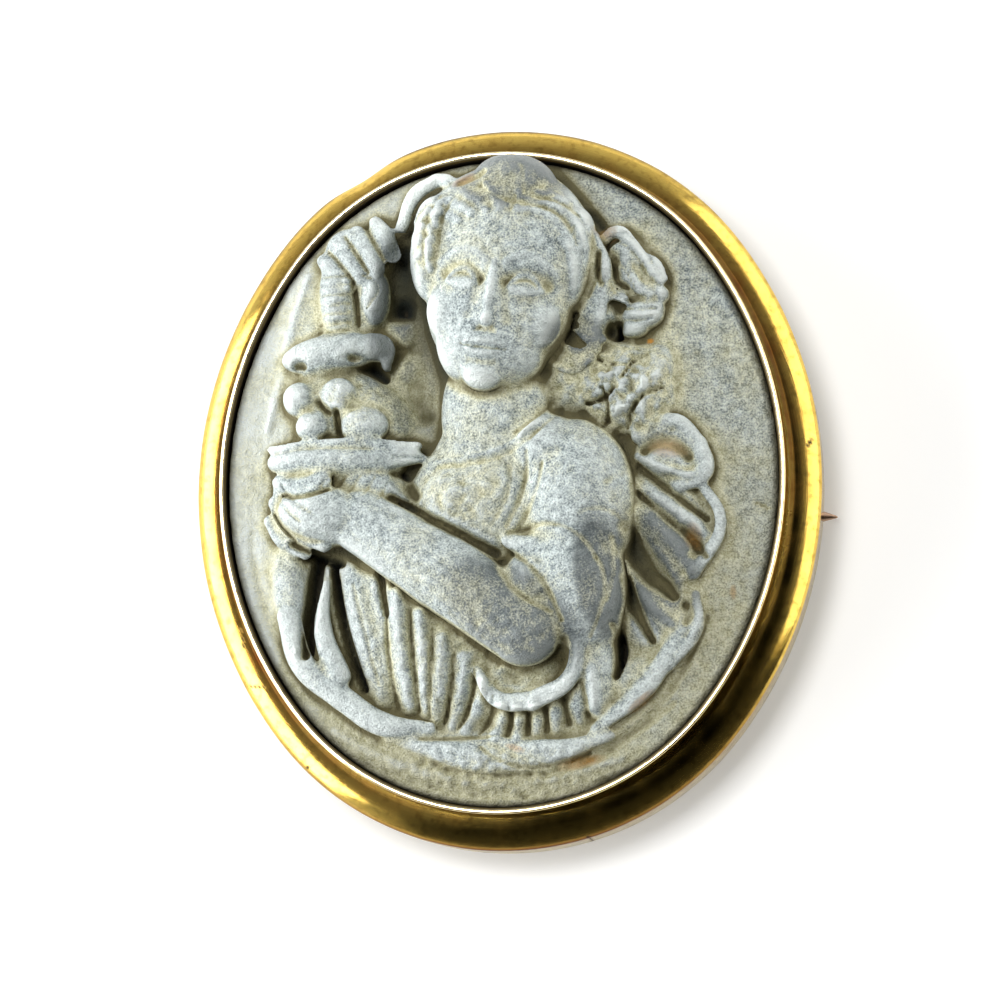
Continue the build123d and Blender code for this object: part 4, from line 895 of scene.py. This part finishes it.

# Shares that follow one measure: name, measure, where it starts, where it ends, and the
# share at both. Places that stand out are rubbed pale with a painted highlight, olive dirt
# lies in the sharp creases, the deepest undercuts are painted near black as painted shade,
# the rim holds dirt and painted shade, and most of the listed dark places are painted shade.
shares = {}
for name, *ramp in (
    ("tone", grain, 0.98, 1.62, 0.0, 1.0),
    ("rubbed and highlit near", near_hollow, -0.03, -0.25, 0.0, 0.5),
    ("rubbed and highlit wide", middle_hollow, -0.1, -0.9, 0.0, 0.6),
    ("cream patches", patches, 0.35, 0.65, -0.22, 0.3),
    ("cream grain", speckle, 0.35, 0.65, -0.22, 0.22),
    ("olive near", near_hollow, 0.14, 0.5, 0.0, 0.8),
    ("olive middle", middle_hollow, 0.35, 1.2, 0.0, 0.5),
    ("olive wide", wide_hollow, 1.1, 2.5, 0.0, 0.6),
    ("deep", wide_hollow, 1.5, 2.7, 0.0, 0.92),
    ("rust", rust_grain, 0.25, 1.1, 0.0, 0.9),
    ("rim", rim_dirt_and_shade, 0.4, 1.0, 0.0, 0.8),
    ("painted shade", painted_darkening, 0.0, 1.0, 0.0, 0.75),
):
    shares[name] = add_node(tree, "ShaderNodeMapRange", enumerate(ramp)).outputs[0]

# Shares that are a sum, held between 0 and 1: name, base, and each measure and its weight.
# Cream dirt is a little everywhere and more in hollows, and is broken by the grain. The share
# of rubbed places also takes the painted light on the left of the ground.
for name, total, terms in (
    ("rubbed and highlit", 0.0, [(shares["rubbed and highlit near"], 1.0), (shares["rubbed and highlit wide"], 1.0), (bleached, 1.0)]),
    (
        "cream",
        0.04,
        [(near_hollow, 3.0), (wide_hollow, 0.16), (roughened, 0.32), (soiled, 0.5)]
        + [(shares["cream patches"], 1.0), (shares["cream grain"], 1.0)],
    ),
    (
        "olive",
        0.0,
        [(shares["olive near"], 1.0), (shares["olive middle"], 1.0)]
        + [(shares["olive wide"], 1.0), (soiled, 0.36)],
    ),
):
    for measure, weight in terms:
        links = [(0, measure), (1, weight), (2, total)]
        total = add_node(tree, "ShaderNodeMath", links, operation="MULTIPLY_ADD").outputs[0]
    shares[name] = add_node(tree, "ShaderNodeClamp", [(0, total)]).outputs[0]

# The colours, each laid over those before it by its share.
cream_colour, rust_colour = [
    add_node(
        tree, "ShaderNodeMix", [(0, share), (6, linear(dark_tone)), (7, linear(light_tone))], data_type="RGBA"
    ).outputs[2]
    for share, dark_tone, light_tone in ((shares["tone"], "A6A47E", "EAE9CC"), (rusted, "7E6C3E", "D08E2C"))
]
skin = linear("667275")
for name, colour in (
    ("tone", linear("D8E3E1")),
    # raised places: wear with a painted highlight, and painted light on the left of the ground
    ("rubbed and highlit", linear("E6EDE9")),
    # painted shade in the listed places, and a darker crown
    ("painted shade", linear("454D4E")),
    ("cream", cream_colour),
    ("olive", linear("6C6646")),
    # painted shade: the deepest hollows are painted near black
    ("deep", linear("1C2622")),
    ("rust", rust_colour),
    # dirt and painted shade at the rim and in the deep cut holes
    ("rim", linear("3A3424")),
):
    links = [(0, shares[name]), (6, skin), (7, colour)]
    skin = add_node(tree, "ShaderNodeMix", links, data_type="RGBA").outputs[2]
tree.links.new(skin, stone_shader.inputs["Base Color"])
shine = add_node(
    tree, "ShaderNodeMapRange", [(0, shares["cream"]), (1, 0.0), (2, 0.8), (3, 0.38), (4, 0.85)]
)
tree.links.new(shine.outputs[0], stone_shader.inputs["Roughness"])
coarse_bump = add_node(
    tree, "ShaderNodeBump", [("Height", mottle), ("Strength", 0.9), ("Distance", 0.18 * MM)]
)
fine_bump = add_node(
    tree,
    "ShaderNodeBump",
    [("Height", speckle), ("Normal", coarse_bump.outputs[0]), ("Strength", 1.0), ("Distance", 0.12 * MM)],
)
tree.links.new(fine_bump.outputs[0], stone_shader.inputs["Normal"])
stone.data.materials.clear()
stone.data.materials.append(stone_material)
select_only(stone)
bpy.ops.object.shade_smooth_by_angle(angle=math.radians(60))
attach(stone, "brooch")
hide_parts("cameo_stone")


# The frame: 15 carat gold, bent from sheet and soldered: a thin upright collar that holds
# the stone, a rounded moulding round its foot, an upright skirt, and a ledge at the back.
STONE_GAP = 0.05 * MM
COLLAR_OUTSET = 0.45 * MM
EDGE_OUTSET = 2.4 * MM
SKIRT_OUTSET = 2.28 * MM
LEDGE_WIDTH = 0.9 * MM
LEDGE_THICKNESS = 0.4 * MM
BACK_HEIGHT = stone_low.z - STONE_GAP - LEDGE_THICKNESS
LIP_HEIGHT = STONE_EDGE + 1.9 * MM
MOULDING_TOP = LIP_HEIGHT - 2.05 * MM
EDGE_HEIGHT = MOULDING_TOP - 1.05 * MM
EDGE_THICKNESS = 0.3 * MM
INNER_SLOPE, OUTER_SLOPE = 6, 50
LIP_ROUNDING = 0.11 * MM
EDGE_WEAR = 0.07 * MM
DIRT_LINE = 0.3 * MM
LIP_BEVEL = 0.2 * MM
OVAL_SIDES = 720


def oval_line(count, outset):
    """Points on the oval, outset from the stone's edge, in equal turns."""
    turn = np.linspace(0, 2 * np.pi, count, endpoint=False)
    x, y = HALF_WIDTH * np.cos(turn), HALF_LENGTH * np.sin(turn)
    reach = edge_distance(x, y) / np.hypot(x, y)
    x, y = x * reach, y * reach
    at_end = np.abs(y) * SIDE_CENTRE > (np.abs(x) + SIDE_CENTRE) * END_CENTRE
    centre_x = np.where(at_end, 0, -np.sign(x) * SIDE_CENTRE)
    centre_y = np.where(at_end, np.sign(y) * END_CENTRE, 0)
    away = np.hypot(x - centre_x, y - centre_y)
    return x + outset * (x - centre_x) / away, y + outset * (y - centre_y) / away


def rounded_corner(outset, height, radius, start, end, count=4):
    """Points of a rounded corner of the section, about a centre, between two angles."""
    turns = [math.radians(start + (end - start) * step / count) for step in range(count + 1)]
    return [(outset + radius * math.cos(t), height + radius * math.sin(t)) for t in turns]


# The section, from the ledge under the stone round by the skirt, the moulding and the lip.
MOULDING_STEPS = 16
slopes = np.radians(np.linspace(OUTER_SLOPE, INNER_SLOPE, MOULDING_STEPS + 1))
arc_width = math.sin(math.radians(OUTER_SLOPE)) - math.sin(math.radians(INNER_SLOPE))
arc_radius = (EDGE_OUTSET - COLLAR_OUTSET) / arc_width
moulding = [
    (
        EDGE_OUTSET - arc_radius * (math.sin(math.radians(OUTER_SLOPE)) - math.sin(slope)),
        EDGE_HEIGHT + arc_radius * (math.cos(slope) - math.cos(math.radians(OUTER_SLOPE))),
    )
    for slope in slopes
]
section = [
    (-LEDGE_WIDTH, BACK_HEIGHT + LEDGE_THICKNESS),
    *rounded_corner(-LEDGE_WIDTH + EDGE_WEAR, BACK_HEIGHT + EDGE_WEAR, EDGE_WEAR, 180, 270),
    *rounded_corner(SKIRT_OUTSET - EDGE_WEAR, BACK_HEIGHT + EDGE_WEAR, EDGE_WEAR, 270, 360),
    (SKIRT_OUTSET, EDGE_HEIGHT - EDGE_THICKNESS),
    *rounded_corner(EDGE_OUTSET - EDGE_WEAR, EDGE_HEIGHT - EDGE_THICKNESS + EDGE_WEAR, EDGE_WEAR, 270, 360),
    *rounded_corner(EDGE_OUTSET - EDGE_WEAR, EDGE_HEIGHT - EDGE_WEAR, EDGE_WEAR, 0, 40),
    *moulding[1:],
    (COLLAR_OUTSET, MOULDING_TOP + 0.1 * MM),
    (COLLAR_OUTSET, (MOULDING_TOP + LIP_HEIGHT) / 2),
    *rounded_corner(COLLAR_OUTSET - LIP_ROUNDING, LIP_HEIGHT - LIP_ROUNDING, LIP_ROUNDING, 0, 90, 6),
    (STONE_GAP + LIP_BEVEL, LIP_HEIGHT),
    (STONE_GAP + LIP_BEVEL / 2, LIP_HEIGHT - LIP_BEVEL / 4),
    (STONE_GAP + LIP_BEVEL / 4, LIP_HEIGHT - LIP_BEVEL / 2),
    (STONE_GAP, LIP_HEIGHT - LIP_BEVEL),
    (STONE_GAP, LIP_HEIGHT - DIRT_LINE),
    (STONE_GAP, STONE_EDGE),
    (STONE_GAP, BACK_HEIGHT + LEDGE_THICKNESS),
]
bpy.ops.object.select_all(action="DESELECT")
bpy.ops.mesh.primitive_grid_add(x_subdivisions=OVAL_SIDES, y_subdivisions=len(section), size=MM)
bezel = bpy.context.object
bezel.name = "gold_frame"
rings = [oval_line(OVAL_SIDES, outset) for outset, height in section]
for number, vertex in enumerate(bezel.data.vertices):
    row, side = divmod(number, OVAL_SIDES + 1)
    ring_x, ring_y = rings[row % len(section)]
    vertex.co = (ring_x[side % OVAL_SIDES], ring_y[side % OVAL_SIDES], section[row % len(section)][1])
bpy.ops.object.mode_set(mode="EDIT")
bpy.ops.mesh.select_all(action="SELECT")
bpy.ops.mesh.remove_doubles(threshold=0.001 * MM)
bpy.ops.object.mode_set(mode="OBJECT")

# Wear: a dent at the upper left, and a slight waviness from hand work.
DENT_PLACE = Vector((-9.3, 20.3, 4.0)) * MM
DENT_DEPTH, DENT_REACH = 0.3 * MM, 1.9 * MM
WAVE_DEPTH, WAVE_LENGTH = 0.03 * MM, 5 * MM
for vertex in bezel.data.vertices:
    x, y, z = vertex.co
    outset = math.hypot(x, y) - float(edge_distance(x, y))
    outward = Vector((x, y, 0)).normalized()
    near_dent = math.exp(-((vertex.co.xy - DENT_PLACE.xy).length / DENT_REACH) ** 2)
    share = min(1, max(0, (outset - COLLAR_OUTSET) / (EDGE_OUTSET - COLLAR_OUTSET)))
    wave = WAVE_DEPTH * noise.noise(vertex.co / WAVE_LENGTH) * share
    vertex.co -= outward * (DENT_DEPTH * near_dent * share + abs(wave))

# The hinge ears and the hook of the catch, soldered to the back of the rim. Known fault:
# the ears are drawn inwards, over the pin's knuckle.
joint = next(joint for joint in frame["joints"] if joint["name"] == "pin_swing")
hinge_place = Vector(joint["pos_m"])
hinge_line = Vector(joint["axis"])
stem_line = Vector((hinge_line.y, -hinge_line.x, 0))
UP = Vector((0, 0, 1))
BARREL_RADIUS = hinge_place.z
KNUCKLE_LENGTH, EAR_LENGTH, SIDE_PLAY = 2.24 * MM, 2.2 * MM, 0.08 * MM
BORE_RADIUS, BORE_EXCESS = 0.43 * MM, 1 * MM
CATCH_WALL, CATCH_WIDTH = 0.3 * MM, 1.8 * MM
back_rise = BACK_HEIGHT - BARREL_RADIUS
ARC_STEPS = 16


def arc(radius, start, end):
    """Points of an arc about the origin of a section, between two angles in degrees."""
    turns = [math.radians(start + (end - start) * step / ARC_STEPS) for step in range(ARC_STEPS + 1)]
    return [(radius * math.cos(t), radius * math.sin(t)) for t in turns]


def drawn_out(name, outline, place, across, length):
    """A bar of one section, drawn out from its place."""
    bpy.ops.object.select_all(action="DESELECT")
    bpy.ops.mesh.primitive_circle_add(vertices=len(outline), radius=MM, fill_type="NGON")
    piece = bpy.context.object
    piece.name = name
    for vertex, (u, v) in zip(piece.data.vertices, outline):
        vertex.co = place + across * u + UP * v
    bpy.ops.object.mode_set(mode="EDIT")
    bpy.ops.mesh.select_all(action="SELECT")
    bpy.ops.mesh.extrude_region_move(TRANSFORM_OT_translate={"value": across.cross(UP) * length})
    bpy.ops.mesh.select_all(action="SELECT")
    bpy.ops.mesh.normals_make_consistent(inside=False)
    bpy.ops.object.mode_set(mode="OBJECT")
    return piece


BACK_PLATE_SINK = 0.02 * MM
ear_outline = [
    (BARREL_RADIUS, back_rise + BACK_PLATE_SINK),
    *arc(BARREL_RADIUS, 0, -180),
    (-BARREL_RADIUS, back_rise + BACK_PLATE_SINK),
]
soldered = []
for name, side in (("upper_hinge_ear", 1), ("lower_hinge_ear", -1)):
    inner_end = hinge_place + hinge_line * side * (KNUCKLE_LENGTH / 2 + SIDE_PLAY)
    ear = drawn_out(name, ear_outline, inner_end, stem_line * side, EAR_LENGTH)
    bore_outline, bore_end = arc(BORE_RADIUS, 0, 360)[:-1], inner_end - hinge_line * side * BORE_EXCESS
    bore = drawn_out("bore", bore_outline, bore_end, stem_line * side, EAR_LENGTH + 2 * BORE_EXCESS)
    finish_with(ear, "BOOLEAN", object=bore, operation="DIFFERENCE", solver="EXACT")
    bpy.data.objects.remove(bore)
    soldered.append(ear)
hook_radius = BARREL_RADIUS - CATCH_WALL
hook_outline = [
    (BARREL_RADIUS, back_rise + BACK_PLATE_SINK),
    *arc(BARREL_RADIUS, 0, -180),
    *arc(hook_radius, -180, 90),
    (0, back_rise + BACK_PLATE_SINK),
]
hinge_distance = hinge_place.dot(stem_line)
hook_place = hinge_place - stem_line * (2 * hinge_distance - CATCH_WIDTH / 2)
hook = drawn_out("catch_hook", hook_outline, hook_place, hinge_line, -CATCH_WIDTH)
soldered.append(hook)
for piece in soldered:
    finish_with(piece, "BEVEL", width=EDGE_WEAR, segments=2, limit_method="ANGLE")

# Marks on the gold: name, centre x, y, half width, half length and turn in degrees.
GOLD_MARKS = [
    ("line across the band", -15.8, -12.4, 0.75, 0.07, -8),
    ("line along the band", -16.8, -9.4, 0.06, 0.85, 8),
    ("scratch at the right", 19.2, 2.3, 0.1, 0.35, -30),
    ("nick in the lower edge 1", 9.9, -20.2, 0.14, 0.1, 0),
    ("nick in the lower edge 2", 5.1, -22.2, 0.14, 0.1, 0),
    ("nick in the lower edge 3", 8.4, -21.3, 0.4, 0.12, 30),
    ("dark spot under the edge", -2.4, -23.2, 0.7, 0.3, 0),
    ("pit at the lower left", -12.7, -17.5, 0.12, 0.12, 0),
]

# Worn polished gold: a clean yellow mirror with hairlines along its run, a lip and skirt painted pale as a
# painted highlight and a painted reflection of the paper, copper at the foot of its edge, painted brown
# reflection on the moulding, painted shade with some dirt beside the collar, and painted dark reflection at the
# outer edge at the head.
gold, gold_shader = new_material("worn_polished_gold")
tree = gold.node_tree
grimy_and_shaded, coppery, marked, pale, reflected_brown = [
    add_node(tree, "ShaderNodeAttribute", attribute_name=name).outputs["Fac"]
    for name in ("grime", "copper", "mark", "pale", "brown")
]
where = add_node(tree, "ShaderNodeTexCoord").outputs["Object"]
part = add_node(tree, "ShaderNodeSeparateXYZ", [(0, where)])
around = add_node(tree, "ShaderNodeMath", [(0, part.outputs["Y"]), (1, part.outputs["X"])], operation="ARCTAN2")
flat = add_node(tree, "ShaderNodeVectorMath", [(0, where), (1, (1, 1, 0))], operation="MULTIPLY")
reach = add_node(tree, "ShaderNodeVectorMath", [(0, flat.outputs[0])], operation="LENGTH")
HAIRLINE_WIDTH, HAIRLINE_TURN = 0.09 * MM, 0.12
run_of_ring = add_node(
    tree,
    "ShaderNodeCombineXYZ",
    [
        (axis, add_node(tree, "ShaderNodeMath", [(0, measure), (1, 1 / size)], operation="MULTIPLY").outputs[0])
        for axis, measure, size in (
            (0, around.outputs[0], HAIRLINE_TURN),
            (1, reach.outputs["Value"], HAIRLINE_WIDTH),
            (2, part.outputs["Z"], HAIRLINE_WIDTH),
        )
    ],
)
SMEAR_SIZE, TARNISH_SIZE = 1.6 * MM, 0.5 * MM
hairlines, smears, tarnish = [
    add_node(tree, "ShaderNodeTexNoise", [("Vector", place), ("Scale", scale), ("Detail", detail)]).outputs[0]
    for place, scale, detail in (
        (run_of_ring.outputs[0], 1.0, 3),
        (where, 1 / SMEAR_SIZE, 4),
        (where, 1 / TARNISH_SIZE, 5),
    )
]
reflected_brown_share = add_node(tree, "ShaderNodeMath", [(0, reflected_brown), (1, smears)], operation="MULTIPLY")
tarnish_share = add_node(
    tree, "ShaderNodeMapRange", [(0, tarnish), (1, 0.5), (2, 0.72), (3, 0.0), (4, 0.5)]
)
dirt_and_shade_share = add_node(tree, "ShaderNodeMath", [(0, grimy_and_shaded), (1, marked)], operation="MAXIMUM")
skin = linear("F0D06A")
for share, colour in (
    (smears, "D8AE50"),
    (reflected_brown_share.outputs[0], "A8642A"),
    (coppery, "743A1C"),
    (pale, "F6E4B4"),
    (tarnish_share.outputs[0], "8C6420"),
    (dirt_and_shade_share.outputs[0], "1E150C"),
):
    links = [(0, share), (6, skin), (7, linear(colour))]
    skin = add_node(tree, "ShaderNodeMix", links, data_type="RGBA").outputs[2]
tree.links.new(skin, gold_shader.inputs["Base Color"])
metal_share = add_node(
    tree, "ShaderNodeMath", [(0, 1.0), (1, dirt_and_shade_share.outputs[0])], operation="SUBTRACT", use_clamp=True
)
tree.links.new(metal_share.outputs[0], gold_shader.inputs["Metallic"])
gold_shader.inputs["Specular IOR Level"].default_value = 0.2
gloss = add_node(tree, "ShaderNodeMapRange", [(0, smears), (1, 0.3), (2, 0.7), (3, 0.09), (4, 0.2)])
dull = add_node(
    tree,
    "ShaderNodeMath",
    [(0, dirt_and_shade_share.outputs[0]), (1, 0.4), (2, gloss.outputs[0])],
    operation="MULTIPLY_ADD",
)
tree.links.new(dull.outputs[0], gold_shader.inputs["Roughness"])
hairline_bump = add_node(
    tree, "ShaderNodeBump", [("Height", hairlines), ("Strength", 0.4), ("Distance", 0.012 * MM)]
)
tree.links.new(hairline_bump.outputs[0], gold_shader.inputs["Normal"])

# Where each look of the gold lies, by the outset from the stone's edge and the height in
# mm, and by the turn about the middle in degrees and its spread.
LOWER_RIGHT_TURN, LOWER_RIGHT_SPREAD = -62, 60
FOOT_TURN, FOOT_SPREAD = -84, 50
HEAD_TURN, HEAD_SPREAD = 105, 55
points = np.array([vertex.co for vertex in bezel.data.vertices]) / MM
outsets = np.hypot(points[:, 0], points[:, 1]) - edge_distance(points[:, 0], points[:, 1]) / MM
heights = points[:, 2]
under_lip, under_edge = LIP_HEIGHT / MM - heights, EDGE_HEIGHT / MM - heights
in_from_edge = EDGE_OUTSET / MM - outsets
turns = np.degrees(np.arctan2(points[:, 1], points[:, 0]))
# The lower right side, where the painted brown and the painted shade at the foot of the wall are left off.
lower_right = np.clip(1.4 - np.abs(turns - LOWER_RIGHT_TURN) / LOWER_RIGHT_SPREAD, 0, 1)
at_foot = np.clip(1 - np.abs(turns - FOOT_TURN) / FOOT_SPREAD, 0, 1) ** 0.5
at_head = np.clip(1 - np.abs(turns - HEAD_TURN) / HEAD_SPREAD, 0, 1) ** 0.5
# Painted shade along the collar: its inside wall, beside the lip's inner edge and at the foot of its outer wall,
# with some dirt in the seam; and painted dark reflection at the outer edge at the head.
inside_wall = (outsets < 0.1) * np.clip((under_lip - 0.12) / 0.17, 0, 1)
beside_lip = (under_lip < 0.5) * (outsets < 0.22)
foot_of_wall = (outsets > 0.3) * (outsets < 0.75) * np.clip(1 - np.abs(heights - MOULDING_TOP / MM) / 0.5, 0, 1)
copper = at_foot * np.clip(1 - (in_from_edge - 0.02) / 0.3, 0, 1) * (under_edge < 0.4)
# Painted reflection: the inner part of the moulding is painted brown, less at the head, and not at the lower
# right.
brown = 1.5 * np.clip((1.7 - outsets) / 0.9, 0, 1) * (outsets > 0.46) * (1 - 0.7 * at_head) * (1 - lower_right)
grime = np.maximum.reduce(
    [
        inside_wall,
        0.9 * beside_lip,
        0.7 * foot_of_wall * (1 - lower_right),
        0.95 * at_head * np.clip(1.3 - in_from_edge / 0.18, 0, 1),
        0.35 * copper,
    ]
)
# Painted highlight and reflection: the lip's top and the skirt are painted pale.
pale_places = 1.0 * ((under_lip < 0.08) | (under_edge > 0.32))
mark = np.zeros(len(points))
for name, *place in GOLD_MARKS:
    mark = np.maximum(mark, (outsets > 0.5) * oval_weight(points[:, 0], points[:, 1], *place))
store(bezel, grime=grime, copper=copper, pale=pale_places, brown=brown, mark=np.clip(mark * 2, 0, 1))

join_onto(bezel, soldered)
bezel.data.materials.clear()
bezel.data.materials.append(gold)
bpy.ops.object.shade_smooth_by_angle(angle=math.radians(32))
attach(bezel, "brooch")
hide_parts("bezel_frame")


# The pin and its rivet: drawn rose gold wire, dulled. The pin's knuckle is rolled round the
# rivet. Both are the CAD's own meshes, and only their material is made here.
STEM_LEAN = math.radians(3.5)
DRAWN_SCALE = (900, 9000, 9000)
wire, wire_shader = new_material("dulled_rose_gold_wire")
tree = wire.node_tree
where = add_node(tree, "ShaderNodeTexCoord").outputs["Object"]
along_wire = add_node(
    tree, "ShaderNodeMapping", [("Vector", where), ("Rotation", (0, 0, STEM_LEAN)), ("Scale", DRAWN_SCALE)]
)
draw_lines = add_node(
    tree, "ShaderNodeTexNoise", [("Vector", along_wire.outputs[0]), ("Scale", 1.0), ("Detail", 3)]
).outputs[0]
wire_colour = add_node(
    tree,
    "ShaderNodeMix",
    [(0, draw_lines), (6, linear("9C7F6C")), (7, linear("D8B79C"))],
    data_type="RGBA",
)
tree.links.new(wire_colour.outputs[2], wire_shader.inputs["Base Color"])
wire_shader.inputs["Metallic"].default_value = 1.0
wire_gloss = add_node(tree, "ShaderNodeMapRange", [(0, draw_lines), (1, 0.3), (2, 0.7), (3, 0.25), (4, 0.45)])
tree.links.new(wire_gloss.outputs[0], wire_shader.inputs["Roughness"])
draw_bump = add_node(
    tree, "ShaderNodeBump", [("Height", draw_lines), ("Strength", 0.4), ("Distance", 0.02 * MM)]
)
tree.links.new(draw_bump.outputs[0], wire_shader.inputs["Normal"])
for node in ("brooch_pin", "hinge_rivet"):
    frame["nodes"][node].data.materials.clear()
    frame["nodes"][node].data.materials.append(wire)
